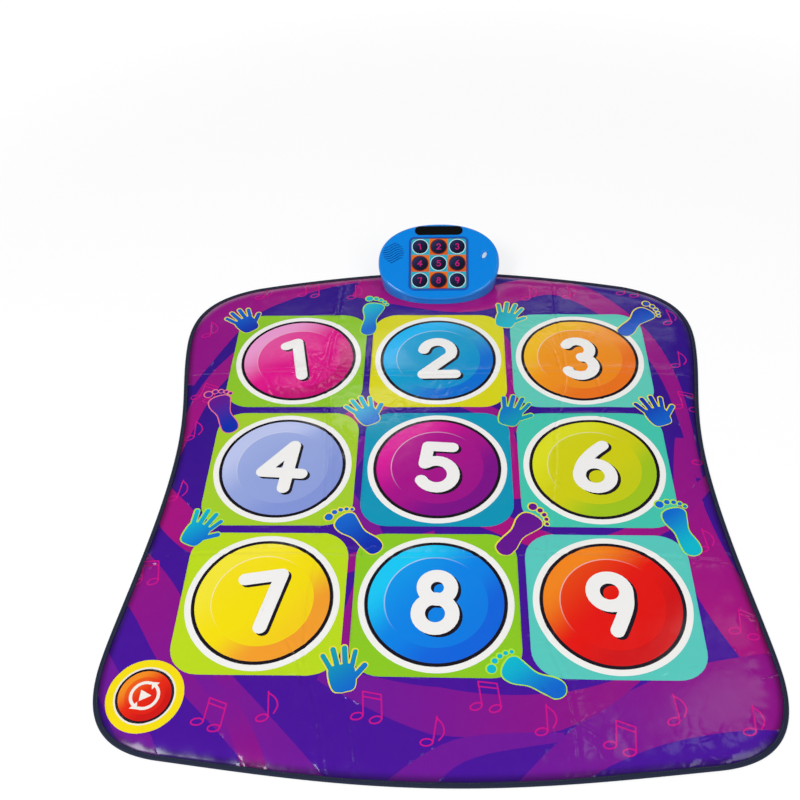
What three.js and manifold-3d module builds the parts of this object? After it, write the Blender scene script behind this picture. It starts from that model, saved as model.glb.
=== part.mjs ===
// Electronic dance mat: a padded play mat with ten pressure zones, and a
// wedge-shaped console with a lit number panel on its back edge.
//
// Millimetres, +Z up, +Y away from the player. The origin lies on the floor
// below the centre of the middle zone.

import * as THREE from 'three';
import { mergeVertices } from 'three/addons/utils/BufferGeometryUtils.js';
import Module from 'manifold-3d';

const wasm = await Module();
wasm.setup();

// Clearances shared by the whole object

const seatGap = 0.3;
const contactGap = 0.05;
const cutOverrun = 2;
const mergeShare = 0.001;

// Mat outline, seen from above. The right half is a chain of cubic curves,
// in shares of the half width (x) and of the reach to the front (negative y)
// or to the back (positive y). The margins lie outside the field of zones.

const sideMargin = 108.5;
const frontMargin = 157.5;
const backMargin = 142.5;
const outlineCurveShares = [
  [[0, -1], [0.28, -1], [0.527, -0.97], [0.762, -0.945]],
  [[0.762, -0.945], [0.919, -0.929], [1, -0.859], [1, -0.707]],
  [[1, -0.707], [1, -0.586], [0.928, -0.27], [0.928, 0.03]],
  [[0.928, 0.03], [0.928, 0.271], [0.98, 0.396], [0.993, 0.594]],
  [[0.993, 0.594], [1.002, 0.75], [0.942, 0.85], [0.751, 0.904]],
  [[0.751, 0.904], [0.583, 0.942], [0.269, 0.996], [0, 1]],
];
const outlineCurveSteps = [3, 6, 4, 4, 6, 3];

// Layers of the mat, from the floor up

const backingThickness = 0.8;
const filmThickness = 0.2;
const circuitThickness = 0.15;
const spacerThickness = 1.5;
const paddingThickness = 2;
const coverThickness = 0.4;

// Edge of the mat: tape folded round the cover and the backing

const tapeWidth = 9;
const tapeThickness = 0.5;
const tapeCornerRadius = 0.4;
const backingSlopeWidth = 1.6;
const coverSlopeWidth = 13;
const coverSlopeKneeShare = 0.45;
const coverSlopeKneeRiseShare = 0.72;
const filmSetIn = 3;

// Touch zones: a three by three field, and a small start zone near the left
// front corner

const zonesPerSide = 3;
const zonePitch = 240;
const zoneRadius = 97.5;
const zoneClearance = 0.5;
const zoneCrown = 1.3;
const zonePlugRadius = 78;
const startZoneFromSide = 72;
const startZoneFromFront = 111;
const startZoneRadius = 36;
const startZoneCrown = 0.9;
const startPlugRadius = 29;
const contactSetIn = 6;
const traceWidth = 4;
const zoneSegments = 24;
const startZoneSegments = 20;
const plugHoleSegments = 12;
const contactSegments = 16;
const crownRadiusShares = [1, 0.8, 0];
const crownHeightShares = [0, 0.7, 1];

// Console outline. The face is a superellipse on a plane tilted towards the
// player, and the foot a smaller one that stands on the mat.

const faceTilt = THREE.MathUtils.degToRad(25);
const faceHalfWidth = 110.5;
const faceHalfLength = 77;
const footHalfWidth = 104;
const footHalfDepth = 65.5;
const outlineExponent = 2.25;
const consoleSetIn = 28.7;
const footSetForward = 1.8;
const faceCentreHeight = 45.7;
const rimRadius = 6;
const rimSteps = 3;
const innerRimSteps = 1;
const wall = 2.2;
const faceWall = 3;
const consoleSegments = 48;

// Number panel and the parts behind it

const panelSide = 108;
const panelCornerRadius = 10;
const panelShift = -5;
const panelLedge = 4;
const bezelWidth = 2.6;
const bezelThickness = 1.9;
const windowThickness = 1.1;
const pocketDepth = 1.4;
const cellPitch = 34;
const cellRadius = 14.5;
const cellSegments = 12;
const lightBoxDepth = 9;
const lightBoxSide = 103;
const boardThickness = 1.6;
const ledRadius = 2.5;
const ledHeight = 5;
const ledSegments = 6;
const cornerSegments = 4;

// Blank label plate above the panel

const labelLength = 88;
const labelWidth = 18;
const labelThickness = 0.9;
const labelDepth = 0.6;
const labelShift = 62;
const pillSegments = 6;

// Speaker grille of slanted wavy slots, and the speaker

const grilleX = -83;
const grilleShift = 17;
const grilleRadius = 19;
const grilleSlots = 9;
const slotWidth = 1.7;
const slotWave = 1.25;
const slotWaveLength = 15;
const slotTurn = THREE.MathUtils.degToRad(-24);
const slotSteps = 6;
const slotEndSegments = 2;
const speakerRadius = 18;
const speakerFlangeThickness = 1.2;
const speakerFlangeWidth = 2.5;
const basketDepth = 8;
const basketWall = 0.9;
const magnetRadius = 9.5;
const magnetThickness = 5;
const coneThickness = 0.5;
const coneDepth = 5;
const coneSkirtRadius = 14.8;
const dustCapRadius = 5;
const speakerRingWall = 1.3;
const speakerRingHeight = 4;
const speakerSegments = 20;

// Mode button in its shallow hollow

const buttonX = 83.5;
const buttonShift = 11;
const buttonTurn = THREE.MathUtils.degToRad(-30);
const buttonHalfWidth = 3.6;
const buttonHalfLength = 6.4;
const buttonProud = 0.9;
const buttonTravel = 1;
const buttonFlange = 1.4;
const buttonFlangeThickness = 1.2;
const buttonStemLength = 3.6;
const buttonCrown = 0.6;
const buttonHollowDepth = 1.3;
const buttonHollowMargin = 4.2;
const buttonSegments = 20;
const switchSide = 6;
const switchHeight = 3.5;
const plungerRadius = 1.7;
const plungerHeight = 0.9;
const switchBoardWidth = 22;
const switchBoardLength = 12;
const switchPostRadius = 2;
const switchPostSegments = 12;

// Power and volume switch in the back wall

const powerAngle = THREE.MathUtils.degToRad(62);
const powerHeight = 27;
const powerTravel = 4;
const knobWidth = 4;
const knobHeight = 2.6;
const knobProud = 1.4;
const knobRidgeDepth = 0.5;
const knobRidgeWidth = 0.7;
const knobRidgeCount = 3;
const powerFlangeWidth = 14;
const powerFlangeHeight = 6;
const powerFlangeThickness = 1;
const powerWallGap = 1.2;
const powerBodyWidth = 24;
const powerBodyHeight = 8;
const powerBodyDepth = 6;
const powerPostWidth = 2;

// Battery bay behind the back wall, with three cells, one above the other

const batteryRadius = 7.1;
const batteryLength = 48.8;
const batteryNubRadius = 2.7;
const batteryNubHeight = 1.4;
const batteryPitch = 14.8;
const batteryCount = 3;
const batterySegments = 12;
const bayWall = 1.6;
const batteryWallGap = 3.4;
const contactPlateThickness = 0.4;
const contactPlateWidth = 10;
const springRadius = 4.6;
const springTipRadius = 2.2;
const springWireRadius = 0.4;
const springLength = 4.4;
const springTurns = 2;
const springStepsPerTurn = 8;
const springSides = 4;

// Battery door in the back wall

const doorHalfWidth = 35;
const doorLift = 3.4;
const doorHeight = 46;
const doorTabHalfWidth = 7;
const doorTabHeight = 9;
const doorBarrelRadius = 1.5;
const doorBarrelHalfLength = 24;
const doorBarrelProud = 0.4;
const doorBarrelLiftShare = 0.45;
const doorBoxDepth = 24;
const doorShelfThickness = 1.6;
const doorShelfMargin = 4;
const doorGripCount = 5;
const doorGripPitch = 3;
const doorGripHalfLength = 9;
const doorGripWidth = 1.1;
const doorGripDepth = 0.6;
const doorGripLift = 30;
const doorScrewRadius = 1.1;
const doorScrewHeadRadius = 2.6;
const doorScrewHeadHeight = 1.6;
const doorScrewLength = 3.6;
const doorBossRadius = 3.6;
const doorBossLength = 5;
const doorBossClearance = 0.55;
const doorScrewSegments = 12;

// Case screws, rubber feet and boards

const caseScrewX = 66;
const caseScrewFrontY = -35;
const rearScrewX = 45;
const rearScrewY = 56.5;
const caseScrewRadius = 1.3;
const caseScrewClearance = 0.5;
const matScrewHeadRadius = 4.2;
const matScrewHeadHeight = 0.6;
const matScrewLength = 17;
const caseScrewHeadRadius = 2.9;
const caseScrewHeadHeight = 1.7;
const rearScrewLength = 13;
const bossRadius = 4.2;
const rearBossHeight = 18;
const screwSegments = 10;
const footRadius = 7;
const footX = 62;
const footY = 42;
const footChamfer = 0.8;
const footSegments = 16;
const mainBoardWidth = 76;
const mainBoardLength = 34;
const mainBoardLift = 3;
const mainBoardShift = -24.5;
const chipRadius = 7;
const chipHeight = 1.4;
const capacitorRadius = 3;
const capacitorHeight = 6.5;
const capacitorX = 24;
const chipX = -20;
const postRadius = 2.6;
const postSetIn = 5;

// Flat flex from the films up into the console

const flexWidth = 22;
const flexThickness = 0.3;
const flexY = -2;
const flexRun = 18;
const flexRise = 12.5;
const flexReturn = 11;
const flexSlotGap = 1.2;
const flexSlotSegments = 2;
const connectorWidth = 27;
const connectorLength = 6;
const connectorHeight = 4.2;

// Levels and places worked out from the sizes above

const zoneFieldReach = (zonesPerSide - 1) / 2 * zonePitch + zoneRadius;
const matHalfWidth = zoneFieldReach + sideMargin;
const matFrontReach = zoneFieldReach + frontMargin;
const matBackReach = zoneFieldReach + backMargin;
const startZoneX = startZoneFromSide - matHalfWidth;
const startZoneY = startZoneFromFront - matFrontReach;

const lowerFilmBase = backingThickness;
const circuitBase = lowerFilmBase + filmThickness;
const spacerBase = circuitBase + circuitThickness;
const upperFilmBase = spacerBase + spacerThickness;
const paddingBase = upperFilmBase + filmThickness;
const coverBase = paddingBase + paddingThickness;
const coverTop = coverBase + coverThickness;
const zoneTravel = spacerThickness;
const contactBase = spacerBase + zoneTravel + contactGap;
const sheetSetIn = tapeThickness + seatGap;
const tapeInnerEdge = tapeThickness + tapeWidth;
const slopeStart = tapeInnerEdge + seatGap;
const slopeEnd = slopeStart + coverSlopeWidth;
const paddingSetIn = slopeEnd + seatGap;

const consoleBase = coverTop + seatGap;
const faceCentreY = matBackReach - consoleSetIn;
const footCentreY = faceCentreY - footSetForward;
const faceCentreZ = consoleBase + faceCentreHeight;
const plateTop = consoleBase + wall;
const bayWidth = batteryLength + batteryNubHeight + springLength + 2 * contactPlateThickness;
const batteryY = footCentreY + footHalfDepth - wall - batteryWallGap - batteryRadius;
const doorBoxY = footCentreY + footHalfDepth;
const mainBoardY = footCentreY + mainBoardShift;
const mainBoardBase = plateTop + mainBoardLift;
const flexBendY = footCentreY + flexY;

const facePlane = new THREE.Matrix4()
  .makeTranslation(0, faceCentreY, faceCentreZ)
  .multiply(new THREE.Matrix4().makeRotationX(faceTilt));

// Colours and finishes

const finishes = {
  printedVinyl: { color: 0x7a1a9a, roughness: 0.3, metalness: 0 },
  backing: { color: 0x2a2d33, roughness: 0.85, metalness: 0 },
  bindingTape: { color: 0x1b2537, roughness: 0.7, metalness: 0 },
  foam: { color: 0xe9e6dc, roughness: 0.95, metalness: 0 },
  clearFilm: { color: 0xcfd8dc, roughness: 0.2, metalness: 0 },
  carbonInk: { color: 0x1c1c1e, roughness: 0.6, metalness: 0.1 },
  silverInk: { color: 0xb9bcc0, roughness: 0.35, metalness: 0.6 },
  blueCase: { color: 0x0082dc, roughness: 0.25, metalness: 0 },
  darkBlueCase: { color: 0x0a3f9e, roughness: 0.35, metalness: 0 },
  blackGloss: { color: 0x121216, roughness: 0.15, metalness: 0 },
  panelPrint: { color: 0x35b0c8, roughness: 0.15, metalness: 0 },
  whitePlastic: { color: 0xf1f1ee, roughness: 0.5, metalness: 0 },
  circuitBoard: { color: 0x1d6b3a, roughness: 0.45, metalness: 0.1 },
  steel: { color: 0xb4b7ba, roughness: 0.3, metalness: 1 },
  blackPaper: { color: 0x202022, roughness: 0.8, metalness: 0 },
  blackPlastic: { color: 0x17181b, roughness: 0.45, metalness: 0 },
  rubber: { color: 0x1b1b1d, roughness: 0.9, metalness: 0 },
  batteryJacket: { color: 0x3a3f45, roughness: 0.35, metalness: 0.2 },
};
const zoneColours = {
  1: 0xe0187c, 2: 0x12a8d6, 3: 0xf2821c, 4: 0x9aa4e0, 5: 0xa0149a,
  6: 0xcbd62a, 7: 0xf7dc1c, 8: 0x1482d8, 9: 0xd8161c, start: 0xe8421c,
};

// Solids: joining and cutting

function solidOf(geometry, matrix) {
  const bare = geometry.clone();
  bare.deleteAttribute('normal');
  bare.deleteAttribute('uv');
  if (matrix) bare.applyMatrix4(matrix);
  const merged = mergeVertices(bare);
  const mesh = new wasm.Mesh({
    numProp: 3,
    vertProperties: new Float32Array(merged.attributes.position.array),
    triVerts: new Uint32Array(merged.index.array),
  });
  return new wasm.Manifold(mesh);
}

function geometryOf(solid) {
  const mesh = solid.getMesh();
  const geometry = new THREE.BufferGeometry();
  const positions = new THREE.BufferAttribute(new Float32Array(mesh.vertProperties), 3);
  geometry.setAttribute('position', positions);
  geometry.setIndex(new THREE.BufferAttribute(new Uint32Array(mesh.triVerts), 1));
  geometry.computeVertexNormals();
  return geometry;
}

function joined(solids) {
  return solids.reduce((sum, next) => sum.add(next));
}

function shifted(x, y, z) {
  return new THREE.Matrix4().makeTranslation(x, y, z);
}

// A matrix for a piece on the console's face, at (x, v) on the face and with
// height h above it
function onFace(x, v, h, turn = 0) {
  return facePlane.clone()
    .multiply(shifted(x, v, h))
    .multiply(new THREE.Matrix4().makeRotationZ(turn));
}

// Flat outlines

function outlineCurves() {
  const place = ([xShare, yShare]) => new THREE.Vector2(
    xShare * matHalfWidth,
    yShare * (yShare < 0 ? matFrontReach : matBackReach),
  );
  return outlineCurveShares.map((points) => new THREE.CubicBezierCurve(...points.map(place)));
}

// The whole outline, anticlockwise from the middle of the front edge
function matOutline() {
  const right = outlineCurves().flatMap(
    (curve, i) => curve.getPoints(outlineCurveSteps[i]).slice(0, -1),
  );
  const left = right.slice(1).reverse().map((p) => new THREE.Vector2(-p.x, p.y));
  return [...right, new THREE.Vector2(0, matBackReach), ...left];
}

// The outline moved inwards along its normals
function insetOutline(distance) {
  const points = matOutline();
  return points.map((point, i) => {
    const before = points[(i + points.length - 1) % points.length];
    const after = points[(i + 1) % points.length];
    const along = after.clone().sub(before).normalize();
    return new THREE.Vector2(point.x - along.y * distance, point.y + along.x * distance);
  });
}

function roundedRectangle(width, length, radius, segments) {
  const points = [];
  const corners = [[1, 1], [-1, 1], [-1, -1], [1, -1]];
  corners.forEach(([sideX, sideY], quarter) => {
    for (let i = 0; i <= segments; i += 1) {
      const angle = (quarter + i / segments) * Math.PI / 2;
      const point = new THREE.Vector2(
        sideX * (width / 2 - radius) + radius * Math.cos(angle),
        sideY * (length / 2 - radius) + radius * Math.sin(angle),
      );
      const last = points[points.length - 1];
      if (!last || last.distanceTo(point) > radius * mergeShare) points.push(point);
    }
  });
  if (points[0].distanceTo(points[points.length - 1]) < radius * mergeShare) points.pop();
  return points;
}

function ellipse(halfWidth, halfLength, segments) {
  return Array.from({ length: segments }, (_, i) => {
    const angle = i / segments * Math.PI * 2;
    return new THREE.Vector2(halfWidth * Math.cos(angle), halfLength * Math.sin(angle));
  });
}

// Plates, blocks and round pieces, standing on z = base

function plateGeometry(points, base, thickness, holes = []) {
  const shape = new THREE.Shape(points);
  shape.holes = holes.map((hole) => new THREE.Path(hole));
  const geometry = new THREE.ExtrudeGeometry(shape, { depth: thickness, bevelEnabled: false });
  return geometry.translate(0, 0, base);
}

function boxGeometry(width, length, height, x = 0, y = 0, base = 0) {
  return new THREE.BoxGeometry(width, length, height).translate(x, y, base + height / 2);
}

function discGeometry(radius, height, segments, x = 0, y = 0, base = 0) {
  return new THREE.CylinderGeometry(radius, radius, height, segments)
    .rotateX(Math.PI / 2)
    .translate(x, y, base + height / 2);
}

// A turned piece from its profile of [radius, height] pairs, axis along +Z
function turnedGeometry(profile, segments) {
  const points = profile.map(([radius, height]) => new THREE.Vector2(radius, height));
  return new THREE.LatheGeometry(points, segments).rotateX(Math.PI / 2);
}

function circlePoints(x, y, radius, segments) {
  return ellipse(radius, radius, segments).map((p) => new THREE.Vector2(p.x + x, p.y + y));
}

// A closed body through rings of points, with flat ends
function loftGeometry(rings) {
  const count = rings[0].length;
  const positions = rings.flat().flatMap((p) => [p.x, p.y, p.z]);
  const index = [];
  for (let ring = 0; ring < rings.length - 1; ring += 1) {
    for (let i = 0; i < count; i += 1) {
      const next = (i + 1) % count;
      const a = ring * count + i;
      const b = ring * count + next;
      index.push(a, b, b + count, a, b + count, a + count);
    }
  }
  const last = (rings.length - 1) * count;
  const flatEnd = (start, facesDown) => {
    const contour = rings[start / count].map((p) => new THREE.Vector2(p.x, p.y));
    for (const [a, b, c] of THREE.ShapeUtils.triangulateShape(contour, [])) {
      if (facesDown) index.push(start + a, start + c, start + b);
      else index.push(start + a, start + b, start + c);
    }
  };
  flatEnd(0, true);
  flatEnd(last, false);
  const geometry = new THREE.BufferGeometry();
  geometry.setAttribute('position', new THREE.Float32BufferAttribute(positions, 3));
  geometry.setIndex(index);
  return geometry;
}

function outlineRing(setIn, z) {
  return insetOutline(setIn).map((p) => new THREE.Vector3(p.x, p.y, z));
}

// Places of the touch zones, in reading order as seen by the player

function touchZones() {
  const zones = [];
  const middle = (zonesPerSide - 1) / 2;
  for (let row = 0; row < zonesPerSide; row += 1) {
    for (let column = 0; column < zonesPerSide; column += 1) {
      zones.push({
        name: `${row * zonesPerSide + column + 1}`,
        x: (column - middle) * zonePitch,
        y: (middle - row) * zonePitch,
        radius: zoneRadius,
        plug: zonePlugRadius,
        crown: zoneCrown,
        segments: zoneSegments,
      });
    }
  }
  zones.push({
    name: 'start',
    x: startZoneX,
    y: startZoneY,
    radius: startZoneRadius,
    plug: startPlugRadius,
    crown: startZoneCrown,
    segments: startZoneSegments,
  });
  return zones;
}

function matScrewPlaces() {
  return [-caseScrewX, caseScrewX].map((x) => [x, footCentreY + caseScrewFrontY]);
}

function screwHoles(radius) {
  return matScrewPlaces().map(([x, y]) => circlePoints(x, y, radius, screwSegments));
}

// Round holes that a disc of the picked radius moves through freely
function zoneHoles(pick, segments) {
  const flatShare = Math.cos(Math.PI / segments);
  return touchZones().map((zone) => circlePoints(
    zone.x, zone.y, (pick(zone) + zoneClearance) / flatShare, segments,
  ));
}

function flexSlotHole() {
  const width = flexWidth + 2 * flexSlotGap;
  const points = roundedRectangle(width, flexRun + 2 * flexSlotGap, flexSlotGap, flexSlotSegments);
  const centreY = flexBendY - flexRun / 2;
  return points.map((p) => new THREE.Vector2(p.x, p.y + centreY));
}

// Mat layers

// The backing lies on the floor and lifts at its edge over the tape
function backingGeometry() {
  const rings = [
    outlineRing(slopeStart + backingSlopeWidth, 0),
    outlineRing(slopeStart, tapeThickness),
    outlineRing(sheetSetIn, tapeThickness),
    outlineRing(sheetSetIn, tapeThickness + backingThickness),
    outlineRing(slopeStart, tapeThickness + backingThickness),
    outlineRing(slopeStart + backingSlopeWidth, backingThickness),
  ];
  const heads = matScrewPlaces().map(([x, y]) => solidOf(discGeometry(
    matScrewHeadRadius + seatGap, backingThickness + 2 * cutOverrun, screwSegments, x, y, -cutOverrun,
  )));
  return geometryOf(solidOf(loftGeometry(rings)).subtract(joined(heads)));
}

function lowerFilmGeometry() {
  const holes = screwHoles(caseScrewRadius + caseScrewClearance);
  return plateGeometry(insetOutline(paddingSetIn + filmSetIn), lowerFilmBase, filmThickness, holes);
}

// Printed contacts joined by tracks that lead to the console
function lowerCircuitSolid() {
  const track = (width, length, x, y) => solidOf(
    boxGeometry(width, length, circuitThickness, x, y, circuitBase),
  );
  const discs = touchZones().map((zone) => solidOf(discGeometry(
    zone.plug - contactSetIn, circuitThickness, contactSegments, zone.x, zone.y, circuitBase,
  )));
  const rows = [-1, 0, 1].map((row) => track(2 * zonePitch, traceWidth, 0, row * zonePitch));
  const tailLength = flexBendY - flexRun + zonePitch;
  const spine = track(traceWidth, tailLength, 0, tailLength / 2 - zonePitch);
  const startRun = track(-zonePitch - startZoneX, traceWidth, (startZoneX - zonePitch) / 2, startZoneY);
  const startRise = track(traceWidth, -zonePitch - startZoneY, -zonePitch, (startZoneY - zonePitch) / 2);
  return joined([...discs, ...rows, spine, startRun, startRise]);
}

function spacerGeometry() {
  const holes = [
    ...zoneHoles((zone) => zone.plug, plugHoleSegments),
    ...screwHoles(caseScrewRadius + caseScrewClearance),
  ];
  return plateGeometry(insetOutline(paddingSetIn + filmSetIn), spacerBase, spacerThickness, holes);
}

function upperFilmGeometry() {
  const holes = [
    ...zoneHoles((zone) => zone.plug, plugHoleSegments),
    ...screwHoles(caseScrewRadius + caseScrewClearance),
  ];
  return plateGeometry(insetOutline(paddingSetIn + filmSetIn), upperFilmBase, filmThickness, holes);
}

function paddingGeometry() {
  const holes = [
    ...zoneHoles((zone) => zone.radius, plugHoleSegments),
    ...screwHoles(caseScrewRadius + caseScrewClearance),
    flexSlotHole(),
  ];
  return plateGeometry(insetOutline(paddingSetIn), paddingBase, paddingThickness, holes);
}

// The printed cover comes down to the backing along the edge, in a soft slope
function coverGeometry() {
  const rimBase = tapeThickness + backingThickness;
  const rise = coverBase - rimBase;
  const knee = slopeStart + coverSlopeWidth * coverSlopeKneeShare;
  const kneeBase = rimBase + rise * coverSlopeKneeRiseShare;
  const rings = [
    outlineRing(slopeEnd, coverBase),
    outlineRing(knee, kneeBase),
    outlineRing(slopeStart, rimBase),
    outlineRing(sheetSetIn, rimBase),
    outlineRing(sheetSetIn, rimBase + coverThickness),
    outlineRing(slopeStart, rimBase + coverThickness),
    outlineRing(knee, kneeBase + coverThickness),
    outlineRing(slopeEnd, coverTop),
  ];
  const depth = coverTop + cutOverrun;
  const cuts = [
    ...zoneHoles((zone) => zone.radius, zoneSegments),
    ...screwHoles(caseScrewRadius + caseScrewClearance),
    flexSlotHole(),
  ].map((hole) => solidOf(plateGeometry(hole, 0, depth)));
  return geometryOf(solidOf(loftGeometry(rings)).subtract(joined(cuts)));
}

// Tape folded over the edge: one section carried round the outline
function bindingGeometry() {
  const outerTop = 2 * tapeThickness + backingThickness + coverThickness;
  const bend = tapeCornerRadius;
  const section = [
    [tapeInnerEdge, 0],
    [bend, 0],
    [0, bend],
    [0, outerTop - bend],
    [bend, outerTop],
    [tapeInnerEdge, outerTop],
    [tapeInnerEdge, outerTop - tapeThickness],
    [tapeThickness, outerTop - tapeThickness],
    [tapeThickness, tapeThickness],
    [tapeInnerEdge, tapeThickness],
  ];
  const rings = section.map(([setIn, z]) => outlineRing(setIn, z));
  const count = rings[0].length;
  const positions = rings.flat().flatMap((p) => [p.x, p.y, p.z]);
  const index = [];
  rings.forEach((_, ring) => {
    const start = ring * count;
    const after = ((ring + 1) % rings.length) * count;
    for (let i = 0; i < count; i += 1) {
      const next = (i + 1) % count;
      index.push(start + i, start + next, after + next, start + i, after + next, after + i);
    }
  });
  const geometry = new THREE.BufferGeometry();
  geometry.setAttribute('position', new THREE.Float32BufferAttribute(positions, 3));
  geometry.setIndex(index);
  return geometry;
}

// One pressure zone: a crowned disc of cover on its plug of foam
function zoneGeometry(zone) {
  const crown = crownRadiusShares.map((share, i) => [
    share * zone.radius,
    coverTop + crownHeightShares[i] * zone.crown,
  ]);
  const profile = [
    [0, contactBase + circuitThickness],
    [zone.plug, contactBase + circuitThickness],
    [zone.plug, coverBase],
    [zone.radius, coverBase],
    ...crown,
  ];
  return turnedGeometry(profile, zone.segments);
}

function upperContactGeometry(zone) {
  return discGeometry(zone.plug - contactSetIn, circuitThickness, contactSegments, 0, 0, contactBase);
}

// A flat tail that leaves the films, turns up through the cover and folds
// over onto the board
function flexGeometry() {
  const start = flexBendY - flexRun;
  const top = paddingBase + flexRise;
  const end = flexBendY - flexReturn;
  const profile = [
    [start, paddingBase],
    [flexBendY, paddingBase],
    [flexBendY, top],
    [end, top],
    [end, top - flexThickness],
    [flexBendY - flexThickness, top - flexThickness],
    [flexBendY - flexThickness, paddingBase + flexThickness],
    [start, paddingBase + flexThickness],
  ];
  const shape = new THREE.Shape(profile.map(([y, z]) => new THREE.Vector2(y, z)));
  return new THREE.ExtrudeGeometry(shape, { depth: flexWidth, bevelEnabled: false })
    .rotateX(Math.PI / 2)
    .rotateZ(Math.PI / 2)
    .translate(-flexWidth / 2, 0, 0);
}

// Console housing

function superellipsePoint(halfX, halfY, angle) {
  const power = 2 / outlineExponent;
  const c = Math.cos(angle);
  const s = Math.sin(angle);
  return new THREE.Vector2(
    halfX * Math.sign(c) * Math.abs(c) ** power,
    halfY * Math.sign(s) * Math.abs(s) ** power,
  );
}

function footRing(setIn, z) {
  return Array.from({ length: consoleSegments }, (_, i) => {
    const angle = i / consoleSegments * Math.PI * 2;
    const p = superellipsePoint(footHalfWidth - setIn, footHalfDepth - setIn, angle);
    return new THREE.Vector3(p.x, p.y + footCentreY, z);
  });
}

function faceRing(setIn, height) {
  return Array.from({ length: consoleSegments }, (_, i) => {
    const angle = i / consoleSegments * Math.PI * 2;
    const p = superellipsePoint(faceHalfWidth - setIn, faceHalfLength - setIn, angle);
    return new THREE.Vector3(p.x, p.y, height).applyMatrix4(facePlane);
  });
}

// The wedge from the foot to the rounded rim of the face. With a wall and a
// face thickness it is the hollow inside.
function wedgeGeometry(setIn, faceDepth, base, steps) {
  const radius = rimRadius - setIn;
  const rings = [footRing(setIn, base)];
  for (let step = 0; step <= steps; step += 1) {
    const angle = step / steps * Math.PI / 2;
    const drop = faceDepth + radius * (1 - Math.sin(angle));
    rings.push(faceRing(setIn + radius * (1 - Math.cos(angle)), -drop));
  }
  return loftGeometry(rings);
}

// The space inside a wall of the given thickness, open at the foot
function hollow(thickness) {
  return solidOf(wedgeGeometry(thickness, faceWall, consoleBase - cutOverrun, innerRimSteps));
}

// One wavy slot of the grille, as long as the round field allows
function grilleSlotPoints(across) {
  const reach = Math.sqrt(grilleRadius ** 2 - across ** 2) - slotWidth;
  const wave = (x) => across + slotWave * Math.sin(x / slotWaveLength * Math.PI * 2);
  const upper = [];
  const lower = [];
  for (let i = 0; i <= slotSteps; i += 1) {
    const x = reach * (2 * i / slotSteps - 1);
    upper.push(new THREE.Vector2(x, wave(x) + slotWidth / 2));
    lower.push(new THREE.Vector2(x, wave(x) - slotWidth / 2));
  }
  const end = (x, startAngle) => Array.from({ length: slotEndSegments }, (_, i) => {
    const angle = startAngle + (i + 1) / (slotEndSegments + 1) * Math.PI;
    return new THREE.Vector2(
      x + slotWidth / 2 * Math.cos(angle),
      wave(x) + slotWidth / 2 * Math.sin(angle),
    );
  });
  return [...lower, ...end(reach, -Math.PI / 2), ...upper.reverse(), ...end(-reach, Math.PI / 2)];
}

function grilleCuts() {
  const pitch = 2 * grilleRadius / (grilleSlots + 1);
  const depth = faceWall + 2 * cutOverrun;
  const place = onFace(grilleX, grilleShift, -faceWall - cutOverrun, slotTurn);
  return Array.from({ length: grilleSlots }, (_, i) => {
    const across = (i + 1) * pitch - grilleRadius;
    return solidOf(plateGeometry(grilleSlotPoints(across), 0, depth), place);
  });
}

function bossSolid(x, y, top, radius) {
  const base = plateTop + seatGap;
  return solidOf(discGeometry(radius, top - base, screwSegments, x, y, base));
}

// A place on the outside of the back wall: x along the wall, y inwards
function backWallFrame(angle, height) {
  const footPoint = superellipsePoint(footHalfWidth, footHalfDepth, angle);
  const low = new THREE.Vector3(footPoint.x, footPoint.y + footCentreY, consoleBase);
  const facePoint = superellipsePoint(faceHalfWidth, faceHalfLength, angle);
  const high = new THREE.Vector3(facePoint.x, facePoint.y, -rimRadius).applyMatrix4(facePlane);
  const up = high.clone().sub(low).normalize();
  const step = Math.PI / consoleSegments;
  const one = superellipsePoint(footHalfWidth, footHalfDepth, angle - step);
  const two = superellipsePoint(footHalfWidth, footHalfDepth, angle + step);
  const along = new THREE.Vector3(two.x - one.x, two.y - one.y, 0).normalize();
  const inwards = new THREE.Vector3().crossVectors(up, along).normalize();
  const level = new THREE.Vector3().crossVectors(along, inwards).normalize();
  const place = low.clone().addScaledVector(up, height / up.z);
  return new THREE.Matrix4().makeBasis(along, inwards, level).setPosition(place);
}

function doorPanelBox(gap) {
  const base = consoleBase + doorLift;
  const panel = solidOf(boxGeometry(
    2 * (doorHalfWidth + gap), doorBoxDepth, doorHeight + 2 * gap, 0, doorBoxY, base - gap,
  ));
  const tab = solidOf(boxGeometry(
    2 * (doorTabHalfWidth + gap), doorBoxDepth, doorHeight + doorTabHeight + gap, 0, doorBoxY, base,
  ));
  return panel.add(tab);
}

function backWallY(height) {
  const frame = backWallFrame(Math.PI / 2, height);
  return new THREE.Vector3().setFromMatrixPosition(frame).y;
}

const doorPivotZ = consoleBase + doorLift + doorBarrelRadius * doorBarrelLiftShare;
const doorPivotY = backWallY(doorLift) + doorBarrelProud - doorBarrelRadius / 2;
const doorScrewZ = consoleBase + doorLift + doorHeight + doorTabHeight / 2;
const doorScrewY = backWallY(doorScrewZ - consoleBase);

function doorBarrel(gap) {
  const radius = doorBarrelRadius + gap;
  const length = 2 * (doorBarrelHalfLength + gap);
  const cylinder = new THREE.CylinderGeometry(radius, radius, length, screwSegments).rotateZ(Math.PI / 2);
  return solidOf(cylinder, shifted(0, doorPivotY, doorPivotZ));
}

function alongY(radius, length, segments, z, outerY) {
  const rod = new THREE.CylinderGeometry(radius, radius, length, segments);
  return solidOf(rod, shifted(0, outerY - length / 2, z));
}

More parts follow.
